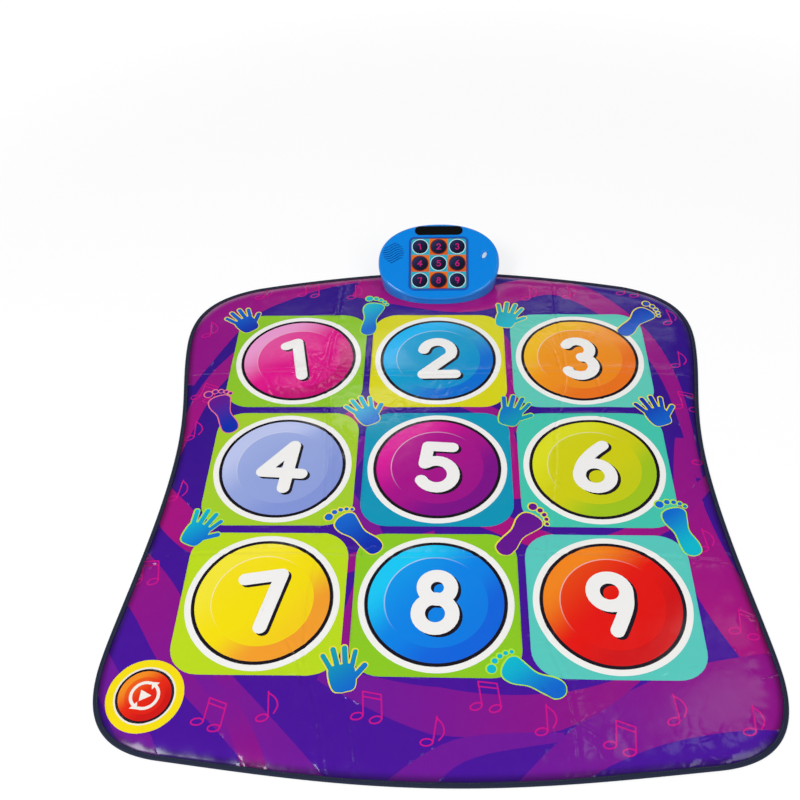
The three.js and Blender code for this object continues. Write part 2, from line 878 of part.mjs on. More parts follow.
function upperHousingSolid() {
  const outer = solidOf(wedgeGeometry(0, 0, consoleBase, rimSteps));
  const inner = hollow(wall);
  const through = faceWall + 2 * cutOverrun;

  const speakerRing = solidOf(
    plateGeometry(
      circlePoints(0, 0, speakerRadius + seatGap + speakerRingWall, speakerSegments),
      0,
      speakerRingHeight + faceWall / 2,
      [circlePoints(0, 0, speakerRadius + seatGap, speakerSegments)],
    ),
    onFace(grilleX, grilleShift, -faceWall - speakerRingHeight),
  );
  const postLength = buttonBoardDepth() - seatGap - faceWall;
  const posts = [-1, 1].map((side) => solidOf(
    discGeometry(switchPostRadius, postLength + wall / 2, switchPostSegments),
    onFace(buttonX + side * (switchBoardWidth / 2 - switchPostRadius), buttonShift, -faceWall - postLength),
  ));
  const bosses = [
    ...matScrewPlaces().map(([x, y]) => bossSolid(x, y, faceCentreZ, bossRadius)),
    ...[-rearScrewX, rearScrewX].map((x) => bossSolid(
      x, footCentreY + rearScrewY, plateTop + rearBossHeight, bossRadius,
    )),
  ];
  const doorBoss = alongY(
    doorBossRadius, wall + doorBossLength, doorScrewSegments, doorScrewZ, doorScrewY,
  );
  const shelfBox = solidOf(boxGeometry(
    2 * (doorTabHalfWidth + doorShelfMargin), doorBoxDepth, doorTabHeight + doorShelfMargin,
    0, doorBoxY, consoleBase + doorLift + doorHeight + seatGap,
  ));
  const shelf = shelfBox.intersect(hollow(wall / 2)).subtract(hollow(wall + seatGap + doorShelfThickness));
  const doorSeat = shelf.add(doorBoss).subtract(doorPanelBox(seatGap).subtract(hollow(wall + seatGap)));
  const powerFrame = backWallFrame(powerAngle, powerHeight);
  const powerPosts = [-1, 1].map((side) => solidOf(
    boxGeometry(powerPostWidth, powerDepth() + powerBodyDepth, powerFlangeHeight),
    powerFrame.clone().multiply(shifted(
      side * (powerBodyWidth + powerPostWidth + 2 * seatGap) / 2,
      (powerDepth() + powerBodyDepth) / 2 + wall / 2,
      -powerFlangeHeight / 2,
    )),
  ));
  const ribs = joined([speakerRing, ...posts, ...bosses, ...powerPosts]).intersect(outer);

  const pocket = solidOf(
    plateGeometry(roundedRectangle(
      panelSide + 2 * seatGap, panelSide + 2 * seatGap, panelCornerRadius, cornerSegments,
    ), 0, pocketDepth + cutOverrun),
    onFace(0, panelShift, -pocketDepth),
  );
  const panelHole = solidOf(
    plateGeometry(roundedRectangle(
      panelSide - 2 * panelLedge, panelSide - 2 * panelLedge, panelCornerRadius, cornerSegments,
    ), 0, through),
    onFace(0, panelShift, -faceWall - cutOverrun),
  );
  const labelPocket = solidOf(
    plateGeometry(roundedRectangle(
      labelLength + 2 * seatGap, labelWidth + 2 * seatGap, labelWidth / 2, pillSegments,
    ), 0, labelDepth + cutOverrun),
    onFace(0, labelShift, -labelDepth),
  );
  const buttonHole = solidOf(
    plateGeometry(ellipse(
      buttonHalfWidth + seatGap, buttonHalfLength + seatGap, buttonSegments,
    ), 0, through),
    onFace(buttonX, buttonShift, -faceWall - cutOverrun, buttonTurn),
  );
  const hollowWidth = buttonHalfWidth + buttonHollowMargin;
  const hollowLength = buttonHalfLength + buttonHollowMargin;
  const buttonHollow = solidOf(
    new THREE.SphereGeometry(1, buttonSegments, buttonSegments / 2)
      .scale(hollowWidth, hollowLength, buttonHollowDepth),
    onFace(buttonX, buttonShift, 0, buttonTurn),
  );
  const powerSlot = solidOf(
    boxGeometry(
      knobWidth + powerTravel + 2 * seatGap,
      2 * (wall + cutOverrun),
      knobHeight + 2 * seatGap,
    ),
    powerFrame.clone().multiply(shifted(powerTravel / 2, 0, -knobHeight / 2 - seatGap)),
  );
  const screwBores = [
    ...matScrewPlaces().map(([x, y]) => [x, y, matScrewLength]),
    ...[-rearScrewX, rearScrewX].map((x) => [x, footCentreY + rearScrewY, rearScrewLength + coverTop]),
  ].map(([x, y, length]) => solidOf(discGeometry(
    caseScrewRadius + seatGap, length + seatGap, screwSegments, x, y, 0,
  )));
  const doorBore = alongY(
    doorScrewRadius + doorBossClearance,
    doorBossLength + wall + cutOverrun,
    doorScrewSegments,
    doorScrewZ,
    doorScrewY + cutOverrun,
  );
  return outer.subtract(inner)
    .subtract(doorPanelBox(seatGap))
    .subtract(doorBarrel(seatGap))
    .add(ribs)
    .add(doorSeat)
    .subtract(joined([pocket, panelHole, labelPocket, buttonHole, buttonHollow]))
    .subtract(joined(grilleCuts()))
    .subtract(joined([powerSlot, doorBore, ...screwBores]));
}

function batteryZ(index) {
  return plateTop + seatGap + batteryRadius + index * batteryPitch;
}

// Base plate with the battery bay and the posts of the main board
function lowerHousingSolid() {
  const plate = solidOf(loftGeometry([
    footRing(wall + seatGap, consoleBase),
    footRing(wall + seatGap, plateTop),
  ]));
  const bayHeight = (batteryCount - 1) * batteryPitch + 2 * (batteryRadius + seatGap);
  const bayDepth = 2 * (batteryRadius + seatGap);
  const bayOuter = solidOf(boxGeometry(
    bayWidth + 2 * (bayWall + seatGap), bayDepth + bayWall, bayHeight + bayWall + wall / 2,
    0, batteryY - bayWall / 2, plateTop - wall / 2,
  ));
  const bayInner = solidOf(boxGeometry(
    bayWidth + 2 * seatGap, bayDepth + 2 * cutOverrun, bayHeight, 0, batteryY + cutOverrun, plateTop,
  ));
  const posts = [-1, 1].flatMap((sideX) => [-1, 1].map((sideY) => solidOf(discGeometry(
    postRadius, mainBoardLift + wall / 2 - seatGap, screwSegments,
    sideX * (mainBoardWidth / 2 - postSetIn),
    mainBoardY + sideY * (mainBoardLength / 2 - postSetIn),
    plateTop - wall / 2,
  ))));
  const holes = [
    ...matScrewPlaces(),
    [-rearScrewX, footCentreY + rearScrewY],
    [rearScrewX, footCentreY + rearScrewY],
  ].map(([x, y]) => solidOf(discGeometry(
    caseScrewRadius + caseScrewClearance,
    wall + 2 * cutOverrun,
    screwSegments,
    x,
    y,
    consoleBase - cutOverrun,
  )));
  const flexSlot = solidOf(boxGeometry(
    flexWidth + 2 * flexSlotGap, flexThickness + 2 * flexSlotGap, wall + 2 * cutOverrun,
    0, flexBendY, consoleBase - cutOverrun,
  ));
  return joined([plate, bayOuter, ...posts]).subtract(joined([bayInner, flexSlot, ...holes]));
}

// Battery door cut from the same wall as its opening
function batteryDoorSolid() {
  const outer = solidOf(wedgeGeometry(0, 0, consoleBase, rimSteps));
  const panel = outer.subtract(hollow(wall)).intersect(doorPanelBox(0));
  const grips = Array.from({ length: doorGripCount }, (_, i) => {
    const height = doorGripLift + i * doorGripPitch;
    return solidOf(boxGeometry(
      2 * doorGripHalfLength, 2 * doorGripDepth, doorGripWidth,
      0, backWallY(height + doorLift), consoleBase + doorLift + height,
    ));
  });
  const headSeat = alongY(
    doorScrewHeadRadius + seatGap,
    doorScrewHeadHeight / 2 + cutOverrun,
    doorScrewSegments,
    doorScrewZ,
    doorScrewY + cutOverrun,
  );
  const hole = alongY(
    doorScrewRadius + seatGap,
    wall + 2 * cutOverrun,
    doorScrewSegments,
    doorScrewZ,
    doorScrewY + cutOverrun,
  );
  return panel.add(doorBarrel(0)).subtract(joined([headSeat, hole, ...grips]));
}

function doorScrewGeometry() {
  const headBase = doorScrewY - doorScrewHeadHeight / 2 + seatGap;
  const head = alongY(
    doorScrewHeadRadius, doorScrewHeadHeight, doorScrewSegments, doorScrewZ, headBase + doorScrewHeadHeight,
  );
  const shank = alongY(
    doorScrewRadius,
    doorScrewLength + wall,
    doorScrewSegments,
    doorScrewZ,
    headBase + doorScrewHeadHeight / 2,
  );
  return geometryOf(head.add(shank));
}

// Number panel

function bezelGeometry() {
  const outer = roundedRectangle(panelSide, panelSide, panelCornerRadius - seatGap, cornerSegments);
  const side = panelSide - 2 * bezelWidth;
  const inner = roundedRectangle(side, side, panelCornerRadius - bezelWidth, cornerSegments);
  return plateGeometry(outer, -pocketDepth + seatGap, bezelThickness, [inner]);
}

function windowGeometry() {
  const side = panelSide - 2 * (bezelWidth + seatGap);
  const radius = panelCornerRadius - bezelWidth - seatGap;
  const points = roundedRectangle(side, side, radius, cornerSegments);
  return plateGeometry(points, -pocketDepth + seatGap, windowThickness);
}

function cellPlaces() {
  return [1, 0, -1].flatMap((row) => [-1, 0, 1].map((column) => [column * cellPitch, row * cellPitch]));
}

function lightBoxDepthBelowFace() {
  return faceWall + seatGap + lightBoxDepth;
}

function lightBoxGeometry() {
  const half = lightBoxSide / 2;
  const corners = [[-half, -half], [half, -half], [half, half], [-half, half]];
  const points = corners.map(([x, y]) => new THREE.Vector2(x, y));
  const holes = cellPlaces().map(([x, y]) => circlePoints(x, y, cellRadius, cellSegments));
  return plateGeometry(points, -lightBoxDepthBelowFace(), lightBoxDepth, holes);
}

function ledBoardSolid() {
  const top = -lightBoxDepthBelowFace() - seatGap;
  const board = solidOf(boxGeometry(lightBoxSide, lightBoxSide, boardThickness, 0, 0, top - boardThickness));
  const leds = cellPlaces().map(([x, y]) => solidOf(turnedGeometry([
    [0, -boardThickness / 2],
    [ledRadius, -boardThickness / 2],
    [ledRadius, ledHeight - ledRadius],
    [ledRadius / Math.SQRT2, ledHeight - ledRadius + ledRadius / Math.SQRT2],
    [0, ledHeight],
  ], ledSegments), shifted(x, y, top)));
  return joined([board, ...leds]);
}

function labelGeometry() {
  const radius = labelWidth / 2 - seatGap;
  const points = roundedRectangle(labelLength, labelWidth, radius, pillSegments);
  return plateGeometry(points, seatGap - labelDepth, labelThickness);
}

// Speaker, measured downwards from its flange

function speakerFrameGeometry() {
  const throat = magnetRadius - seatGap - basketWall;
  return turnedGeometry([
    [speakerRadius - speakerFlangeWidth, 0],
    [speakerRadius - speakerFlangeWidth, -speakerFlangeThickness],
    [throat, -basketDepth + basketWall],
    [throat, -basketDepth],
    [magnetRadius, -basketDepth],
    [speakerRadius - speakerFlangeWidth + basketWall, -speakerFlangeThickness],
    [speakerRadius, -speakerFlangeThickness],
    [speakerRadius, 0],
    [speakerRadius - speakerFlangeWidth, 0],
  ], speakerSegments);
}

function speakerConeGeometry() {
  const top = -speakerFlangeThickness / 2;
  return turnedGeometry([
    [0, top - coneDepth / 2],
    [dustCapRadius / 2, top - coneDepth / 2 - coneThickness],
    [dustCapRadius, top - coneDepth],
    [coneSkirtRadius, top],
    [coneSkirtRadius, top - coneThickness],
    [dustCapRadius, top - coneDepth - coneThickness],
    [0, top - coneDepth - coneThickness],
  ].reverse(), speakerSegments);
}

function speakerMagnetGeometry() {
  const top = -basketDepth - seatGap;
  return discGeometry(magnetRadius, magnetThickness, speakerSegments, 0, 0, top - magnetThickness);
}

// Mode button and its switch, measured from the face

function buttonTop() {
  return buttonProud - buttonHollowDepth;
}

function buttonBottom() {
  return -faceWall - seatGap - buttonFlangeThickness - buttonStemLength;
}

function buttonBoardDepth() {
  return -buttonBottom() + buttonTravel + contactGap + plungerHeight + switchHeight;
}

function buttonGeometry() {
  const level = (setIn, z) => ellipse(buttonHalfWidth - setIn, buttonHalfLength - setIn, buttonSegments)
    .map((p) => new THREE.Vector3(p.x, p.y, z));
  const flangeTop = -faceWall - seatGap;
  const flangeBase = flangeTop - buttonFlangeThickness;
  const crown = buttonCrown;
  return loftGeometry([
    level(buttonFlange, buttonBottom()),
    level(buttonFlange, flangeBase),
    level(-buttonFlange, flangeBase),
    level(-buttonFlange, flangeTop),
    level(0, flangeTop),
    level(0, buttonTop()),
    level(crown, buttonTop() + crown),
    level(2 * crown, buttonTop() + crown + crown / 2),
  ]);
}

function modeSwitchSolid() {
  const board = -buttonBoardDepth();
  return joined([
    solidOf(boxGeometry(
      switchBoardWidth, switchBoardLength, boardThickness, 0, 0, board - boardThickness,
    )),
    solidOf(boxGeometry(
      switchSide, switchSide, switchHeight + boardThickness / 2, 0, 0, board - boardThickness / 2,
    )),
    solidOf(discGeometry(
      plungerRadius, plungerHeight + switchHeight / 2, switchPostSegments, 0, 0, board + switchHeight / 2,
    )),
  ]);
}

// Power switch, in the frame of the back wall: x along it, y inwards

function powerDepth() {
  return wall + powerWallGap + powerFlangeThickness + seatGap;
}

function powerKnobSolid() {
  const reach = knobProud + wall + powerWallGap + powerFlangeThickness / 2;
  const knob = solidOf(boxGeometry(
    knobWidth, reach, knobHeight, 0, reach / 2 - knobProud, -knobHeight / 2,
  ));
  const flange = solidOf(boxGeometry(
    powerFlangeWidth, powerFlangeThickness, powerFlangeHeight,
    0, wall + powerWallGap + powerFlangeThickness / 2, -powerFlangeHeight / 2,
  ));
  const ridges = Array.from({ length: knobRidgeCount }, (_, i) => solidOf(boxGeometry(
    knobRidgeWidth, 2 * knobRidgeDepth, knobHeight + cutOverrun,
    (i + 1 / 2 - knobRidgeCount / 2) * knobWidth / knobRidgeCount,
    -knobProud,
    -(knobHeight + cutOverrun) / 2,
  )));
  return knob.add(flange).subtract(joined(ridges));
}

function powerBodyGeometry() {
  return boxGeometry(
    powerBodyWidth, powerBodyDepth, powerBodyHeight,
    0, powerDepth() + powerBodyDepth / 2, -powerBodyHeight / 2,
  );
}

// Batteries and their contacts, along X

function batteryGeometry() {
  const half = batteryLength / 2;
  const chamfer = batteryNubHeight / 2;
  return turnedGeometry([
    [0, -half],
    [batteryRadius - chamfer, -half],
    [batteryRadius, -half + chamfer],
    [batteryRadius, half - chamfer],
    [batteryRadius - chamfer, half],
    [batteryNubRadius, half],
    [batteryNubRadius, half + batteryNubHeight],
    [0, half + batteryNubHeight],
  ], batterySegments).rotateY(Math.PI / 2);
}

function contactStripSolid(x) {
  const height = (batteryCount - 1) * batteryPitch + contactPlateWidth;
  return solidOf(boxGeometry(
    contactPlateThickness, contactPlateWidth, height, x, batteryY, batteryZ(0) - contactPlateWidth / 2,
  ));
}

class TaperedHelix extends THREE.Curve {
  getPoint(t, target = new THREE.Vector3()) {
    const radius = THREE.MathUtils.lerp(springRadius, springTipRadius, t);
    const angle = t * springTurns * Math.PI * 2;
    return target.set(t * springHelixLength, radius * Math.cos(angle), radius * Math.sin(angle));
  }
}
const springHelixLength = springLength - 2 * springWireRadius - seatGap;

function springGeometry() {
  const section = new THREE.Shape(ellipse(springWireRadius, springWireRadius, springSides));
  return new THREE.ExtrudeGeometry(section, {
    steps: springTurns * springStepsPerTurn,
    extrudePath: new TaperedHelix(),
    bevelEnabled: false,
  });
}

const springStripX = -bayWidth / 2 + contactPlateThickness / 2;

function springStripSolid() {
  const springs = Array.from({ length: batteryCount }, (_, i) => solidOf(
    springGeometry(),
    shifted(springStripX + contactPlateThickness / 2, batteryY, batteryZ(i)),
  ));
  return joined([contactStripSolid(springStripX), ...springs]);
}

// Screws, feet and boards

function screwGeometry(headRadius, headHeight, length) {
  return turnedGeometry([
    [0, 0],
    [headRadius, 0],
    [headRadius, headHeight],
    [caseScrewRadius, headHeight],
    [caseScrewRadius, headHeight + length],
    [0, headHeight + length],
  ], screwSegments);
}

function footGeometry() {
  return turnedGeometry([
    [0, 0],
    [footRadius - footChamfer, 0],
    [footRadius, footChamfer],
    [footRadius, consoleBase],
    [0, consoleBase],
  ], footSegments);
}

function mainBoardSolid() {
  const top = mainBoardBase + boardThickness;
  const part = (radius, height, x) => solidOf(discGeometry(
    radius, height + boardThickness / 2, batterySegments, x, mainBoardY, top - boardThickness / 2,
  ));
  const board = solidOf(boxGeometry(
    mainBoardWidth, mainBoardLength, boardThickness, 0, mainBoardY, mainBoardBase,
  ));
  return joined([
    board,
    part(chipRadius, chipHeight, chipX),
    part(capacitorRadius, capacitorHeight, capacitorX),
  ]);
}

function connectorGeometry() {
  const top = mainBoardBase + boardThickness;
  const centreY = flexBendY - flexReturn - seatGap - connectorLength / 2;
  return boxGeometry(connectorWidth, connectorLength, connectorHeight, 0, centreY, top);
}

// Assembly

function addMesh(parent, name, geometry, finish, colour) {
  const material = new THREE.MeshStandardMaterial(finishes[finish]);
  if (colour !== undefined) material.color.set(colour);
  const mesh = new THREE.Mesh(geometry, material);
  mesh.name = name;
  parent.add(mesh);
  return mesh;
}

function buildMat() {
  const mat = new THREE.Group();
  addMesh(mat, 'backing_sheet', backingGeometry(), 'backing');
  addMesh(mat, 'lower_film', lowerFilmGeometry(), 'clearFilm');
  addMesh(mat, 'lower_circuit', geometryOf(lowerCircuitSolid()), 'silverInk');
  addMesh(mat, 'spacer_foam', spacerGeometry(), 'foam');
  addMesh(mat, 'upper_film', upperFilmGeometry(), 'clearFilm');
  addMesh(mat, 'padding_foam', paddingGeometry(), 'foam');
  addMesh(mat, 'printed_cover', coverGeometry(), 'printedVinyl');
  addMesh(mat, 'edge_binding', bindingGeometry(), 'bindingTape');
  addMesh(mat, 'flex_tail', flexGeometry(), 'clearFilm');
  return mat;
}

function buildZones() {
  const field = new THREE.Group();
  for (const zone of touchZones()) {
    const place = new THREE.Group();
    place.position.set(zone.x, zone.y, 0);
    const colour = zoneColours[zone.name];
    addMesh(place, `touch_zone_${zone.name}`, zoneGeometry(zone), 'printedVinyl', colour);
    addMesh(place, `upper_contact_${zone.name}`, upperContactGeometry(zone), 'carbonInk');
    field.add(place);
  }
  return field;
}

function buildFaceParts() {
  const face = new THREE.Group();
  face.applyMatrix4(facePlane);

  const panel = new THREE.Group();
  panel.position.y = panelShift;
  addMesh(panel, 'panel_bezel', bezelGeometry(), 'darkBlueCase');
  addMesh(panel, 'panel_window', windowGeometry(), 'panelPrint');
  addMesh(panel, 'light_box', lightBoxGeometry(), 'whitePlastic');
  addMesh(panel, 'led_board', geometryOf(ledBoardSolid()), 'circuitBoard');
  face.add(panel);

  const label = addMesh(face, 'label_plate', labelGeometry(), 'blackGloss');
  label.position.y = labelShift;

  const speaker = new THREE.Group();
  speaker.position.set(grilleX, grilleShift, -faceWall - seatGap);
  addMesh(speaker, 'speaker_frame', speakerFrameGeometry(), 'steel');
  addMesh(speaker, 'speaker_cone', speakerConeGeometry(), 'blackPaper');
  addMesh(speaker, 'speaker_magnet', speakerMagnetGeometry(), 'steel');
  face.add(speaker);

  const control = new THREE.Group();
  control.position.set(buttonX, buttonShift, 0);
  const button = addMesh(control, 'mode_button', buttonGeometry(), 'blueCase');
  button.rotation.z = buttonTurn;
  addMesh(control, 'mode_switch', geometryOf(modeSwitchSolid()), 'circuitBoard');
  face.add(control);
  return face;
}

function buildBatteries() {
  const bay = new THREE.Group();
  const stripGap = springLength / 2 - batteryNubHeight / 2;
  for (let i = 0; i < batteryCount; i += 1) {
    const cell = addMesh(bay, `battery_${i + 1}`, batteryGeometry(), 'batteryJacket');
    cell.position.set(stripGap, batteryY, batteryZ(i));
  }
  addMesh(bay, 'spring_strip', geometryOf(springStripSolid()), 'steel');
  const tipStripX = bayWidth / 2 - contactPlateThickness / 2 + seatGap / 2;
  addMesh(bay, 'contact_strip', geometryOf(contactStripSolid(tipStripX)), 'steel');
  return bay;
}

function buildConsole() {
  const unit = new THREE.Group();
  addMesh(unit, 'lower_housing', geometryOf(lowerHousingSolid()), 'darkBlueCase');
  addMesh(unit, 'upper_housing', geometryOf(upperHousingSolid()), 'blueCase');
  unit.add(buildFaceParts());
  unit.add(buildBatteries());
  addMesh(unit, 'battery_door', geometryOf(batteryDoorSolid()), 'blueCase');
  addMesh(unit, 'door_screw', doorScrewGeometry(), 'steel');

  const power = new THREE.Group();
  power.applyMatrix4(backWallFrame(powerAngle, powerHeight));
  addMesh(power, 'power_slider', geometryOf(powerKnobSolid()), 'blackPlastic');
  addMesh(power, 'power_switch', powerBodyGeometry(), 'blackPlastic');
  unit.add(power);

  matScrewPlaces().forEach(([x, y], i) => {
    const length = matScrewLength - matScrewHeadHeight;
    const screw = screwGeometry(matScrewHeadRadius, matScrewHeadHeight, length);
    const base = backingThickness - matScrewHeadHeight;
    addMesh(unit, `mat_screw_${i + 1}`, screw, 'steel').position.set(x, y, base);
  });
  [-rearScrewX, rearScrewX].forEach((x, i) => {
    const screw = screwGeometry(caseScrewHeadRadius, caseScrewHeadHeight, rearScrewLength);
    const base = consoleBase - caseScrewHeadHeight;
    addMesh(unit, `case_screw_${i + 1}`, screw, 'steel').position.set(x, footCentreY + rearScrewY, base);
  });
  [-footX, footX].forEach((x, i) => {
    const foot = addMesh(unit, `rubber_foot_${i + 1}`, footGeometry(), 'rubber');
    foot.position.set(x, footCentreY + footY, 0);
  });
  addMesh(unit, 'main_board', geometryOf(mainBoardSolid()), 'circuitBoard');
  addMesh(unit, 'flex_connector', connectorGeometry(), 'whitePlastic');
  return unit;
}

const danceMat = new THREE.Group();
danceMat.add(buildMat(), buildZones(), buildConsole());

export default danceMat;
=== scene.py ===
import logging
import math
from contextlib import contextmanager
from dataclasses import dataclass, field
from enum import Enum
from typing import Callable, Iterator, Optional, Sequence

import bmesh
import bpy
import numpy as np
from mathutils import Matrix, Vector
from mathutils.geometry import delaunay_2d_cdt
from mathutils.kdtree import KDTree


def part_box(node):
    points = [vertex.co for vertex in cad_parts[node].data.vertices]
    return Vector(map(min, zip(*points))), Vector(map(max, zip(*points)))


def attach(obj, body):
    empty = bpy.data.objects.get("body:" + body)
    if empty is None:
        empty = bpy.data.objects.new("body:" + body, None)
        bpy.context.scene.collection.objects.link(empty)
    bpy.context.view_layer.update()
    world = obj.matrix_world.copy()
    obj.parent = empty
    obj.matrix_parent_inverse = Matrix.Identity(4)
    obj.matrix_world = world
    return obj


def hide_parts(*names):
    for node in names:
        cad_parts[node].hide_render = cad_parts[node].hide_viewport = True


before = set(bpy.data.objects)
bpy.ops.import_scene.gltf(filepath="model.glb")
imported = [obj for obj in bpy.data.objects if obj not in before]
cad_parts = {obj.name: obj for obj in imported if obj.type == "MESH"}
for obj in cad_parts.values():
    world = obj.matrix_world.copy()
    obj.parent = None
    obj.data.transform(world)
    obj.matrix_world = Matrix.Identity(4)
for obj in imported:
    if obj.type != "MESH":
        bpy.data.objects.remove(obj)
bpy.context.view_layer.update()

# Electronic dance mat. Shapes are worked out in millimetres in the frame of
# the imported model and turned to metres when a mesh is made.

MM = 0.001
PER_METRE = 1000
MAT_SCREW = (66.0, 414.5)
HOLE_GAP = 0.5
SUPERELLIPSE = 2.25
log = logging.getLogger("dance_mat")

Thing = bpy.types.Object
Paint = bpy.types.Material
Tree = bpy.types.NodeTree
Socket = bpy.types.NodeSocket
Points = np.ndarray


class Body(str, Enum):
    """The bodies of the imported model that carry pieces."""

    MAT = "mat"
    MODE = "mode_button"
    DOOR = "battery_door"


class Motif(Enum):
    """The printed silhouettes that lie between the squares."""

    HAND = "hand"
    FOOT = "foot"


class Cut(str, Enum):
    """The ways in which one solid is combined with another."""

    TAKE_AWAY = "DIFFERENCE"
    KEEP_SHARED = "INTERSECT"
    JOIN = "UNION"


# Colours and nodes


def linear(code: str) -> tuple[float, float, float, float]:
    """Turns a colour from sRGB hex to linear light.

    Args:
        code: The colour as #RRGGBB.

    Returns:
        Red, green, blue and an alpha of 1.
    """
    channels = [int(code[i : i + 2], 16) / 255 for i in (1, 3, 5)]
    red, green, blue = (c / 12.92 if c <= 0.04045 else ((c + 0.055) / 1.055) ** 2.4 for c in channels)
    return red, green, blue, 1.0


def rgb(code: str) -> Points:
    """Returns the three channels of a colour in linear light."""
    return np.array(linear(code)[:3])


def grey(value: float) -> tuple[float, float, float, float]:
    """Returns a grey of that value in linear light."""
    return value, value, value, 1.0


def add_node(tree: Tree, kind: str, inputs: Optional[dict] = None, **settings: object) -> bpy.types.Node:
    """Adds a node with its settings and inputs.

    Args:
        tree: The node tree.
        kind: The node's type.
        inputs: Values, or sockets to link, by input name or number.
        **settings: Properties of the node itself.

    Returns:
        The new node.
    """
    node = tree.nodes.new(kind)
    for name, value in settings.items():
        setattr(node, name, value)
    for key, value in (inputs or {}).items():
        if isinstance(value, Socket):
            tree.links.new(value, node.inputs[key])
        else:
            node.inputs[key].default_value = value
    return node


def shader(tree: Tree, kind: str, inputs: Optional[dict] = None, output: int | str = 0,
           **settings: object) -> Socket:
    """Adds a shader node.

    Args:
        tree: The node tree.
        kind: The node's type, less its prefix.
        inputs: Values, or sockets to link, by input name or number.
        output: The output that is asked for.
        **settings: Properties of the node itself.

    Returns:
        That output.
    """
    return add_node(tree, f"ShaderNode{kind}", inputs, **settings).outputs[output]


def noise(tree: Tree, size: float, detail: float, place: Socket, output: str = "Fac") -> Socket:
    """Returns soft noise with spots size millimetres wide."""
    return shader(tree, "TexNoise", {"Scale": PER_METRE / size, "Detail": detail, "Vector": place}, output)


def maths(tree: Tree, operation: str, first: Socket, second: Socket) -> Socket:
    """Returns the result of one operation on two values."""
    return shader(tree, "Math", {0: first, 1: second}, operation=operation)


def bump(tree: Tree, strength: float, depth: float, height: Socket,
         normal: Optional[Socket] = None) -> Socket:
    """Adds a relief to the shading.

    Args:
        tree: The node tree.
        strength: How strongly it shows.
        depth: Its depth in millimetres.
        height: The relief.
        normal: The normal that it is laid over.

    Returns:
        The new normal.
    """
    under = {} if normal is None else {"Normal": normal}
    return shader(tree, "Bump", {"Strength": strength, "Distance": depth * MM, "Height": height, **under})


def ramp(tree: Tree, value: Socket, start: tuple[float, float], end: tuple[float, float]) -> Socket:
    """Adds a soft step.

    Args:
        tree: The node tree.
        value: The value that is read.
        start: Where the step begins, and the result up to there.
        end: Where the step ends, and the result from there on.

    Returns:
        The result.
    """
    return shader(tree, "MapRange", {
        "Value": value, "From Min": start[0], "To Min": start[1], "From Max": end[0], "To Max": end[1],
    }, interpolation_type="SMOOTHSTEP")


def empty_tree(owner: bpy.types.Material | bpy.types.World) -> Tree:
    """Clears the nodes of a material or world.

    Args:
        owner: The material or world.

    Returns:
        Its empty node tree.
    """
    owner.use_nodes = True
    owner.node_tree.nodes.clear()
    return owner.node_tree


# Flat shapes, as anticlockwise rings of points


def circle(x: float, y: float, radius: float, count: int) -> Points:
    """Returns a circle of count points."""
    angle = np.arange(count) * (2 * math.pi / count)
    return np.stack([x + radius * np.cos(angle), y + radius * np.sin(angle)], axis=1)


def superellipse(half_x: float, half_y: float, count: int) -> Points:
    """Draws a soft-cornered ellipse.

    Args:
        half_x: Half its width.
        half_y: Half its depth.
        count: The number of points.

    Returns:
        The ring.
    """
    angle = np.arange(count) * (2 * math.pi / count)
    c, s = np.cos(angle), np.sin(angle)
    power = 2 / SUPERELLIPSE
    return np.stack([half * np.sign(way) * np.abs(way) ** power for half, way in ((half_x, c), (half_y, s))],
                    axis=1)


def arc(x: float, y: float, radius: float, start: float, end: float) -> list:
    """Draws part of a circle.

    Args:
        x: The centre's x.
        y: The centre's y.
        radius: The radius.
        start: The first angle in degrees.
        end: The last angle in degrees.

    Returns:
        The points, about one for every 12 degrees.
    """
    count = max(4, int(abs(end - start) / 12))
    angles = np.radians(np.linspace(start, end, count))
    return [(x + radius * math.cos(a), y + radius * math.sin(a)) for a in angles]


def rectangle(low: Sequence[float], high: Sequence[float]) -> Points:
    """Returns a rectangle between two corners."""
    return np.array([(low[0], low[1]), (high[0], low[1]), (high[0], high[1]), (low[0], high[1])])


def rounded_rectangle(x: float, y: float, half_width: float, half_length: float, radius: float,
                      steps: int = 8) -> Points:
    """Draws a rectangle with round corners.

    Args:
        x: The centre's x.
        y: The centre's y.
        half_width: Half the width.
        half_length: Half the length.
        radius: The radius of the corners.
        steps: Steps round each corner.

    Returns:
        The ring.
    """
    ring = []
    for index, (side, end) in enumerate(((1, 1), (-1, 1), (-1, -1), (1, -1))):
        corner = (x + side * (half_width - radius), y + end * (half_length - radius))
        for step in range(steps + 1):
            angle = (index + step / steps) * math.pi / 2
            ring.append((corner[0] + radius * math.cos(angle), corner[1] + radius * math.sin(angle)))
    return np.array(ring)


def spline(points: Sequence, closed: bool = False, steps: int = 6) -> Points:
    """Draws a smooth line through points.

    Args:
        points: The points to pass through.
        closed: Whether the line comes back to its start.
        steps: Steps between two points.

    Returns:
        The points of the smooth line.
    """
    line = np.asarray(points, float)
    count = len(line)
    out = []
    for i in range(count if closed else count - 1):
        near = range(i - 1, i + 3)
        a, b, c, d = (line[k % count] if closed else line[min(max(k, 0), count - 1)] for k in near)
        for step in range(steps):
            t = step / steps
            out.append(0.5 * (
                2 * b + (c - a) * t + (2 * a - 5 * b + 4 * c - d) * t ** 2
                + (3 * b - a - 3 * c + d) * t ** 3
            ))
    if not closed:
        out.append(line[-1])
    return np.array(out)


def left_of(way: Points) -> Points:
    """Returns each direction turned left by a right angle."""
    return np.stack([-way[:, 1], way[:, 0]], axis=1)


def unit(way: Points) -> Points:
    """Returns each direction at length 1."""
    return way / np.linalg.norm(way, axis=1, keepdims=True)


def grown(ring: Points, distance: float) -> Points:
    """Returns a ring moved outwards along its normals."""
    return ring - left_of(unit(np.roll(ring, -1, axis=0) - np.roll(ring, 1, axis=0))) * distance


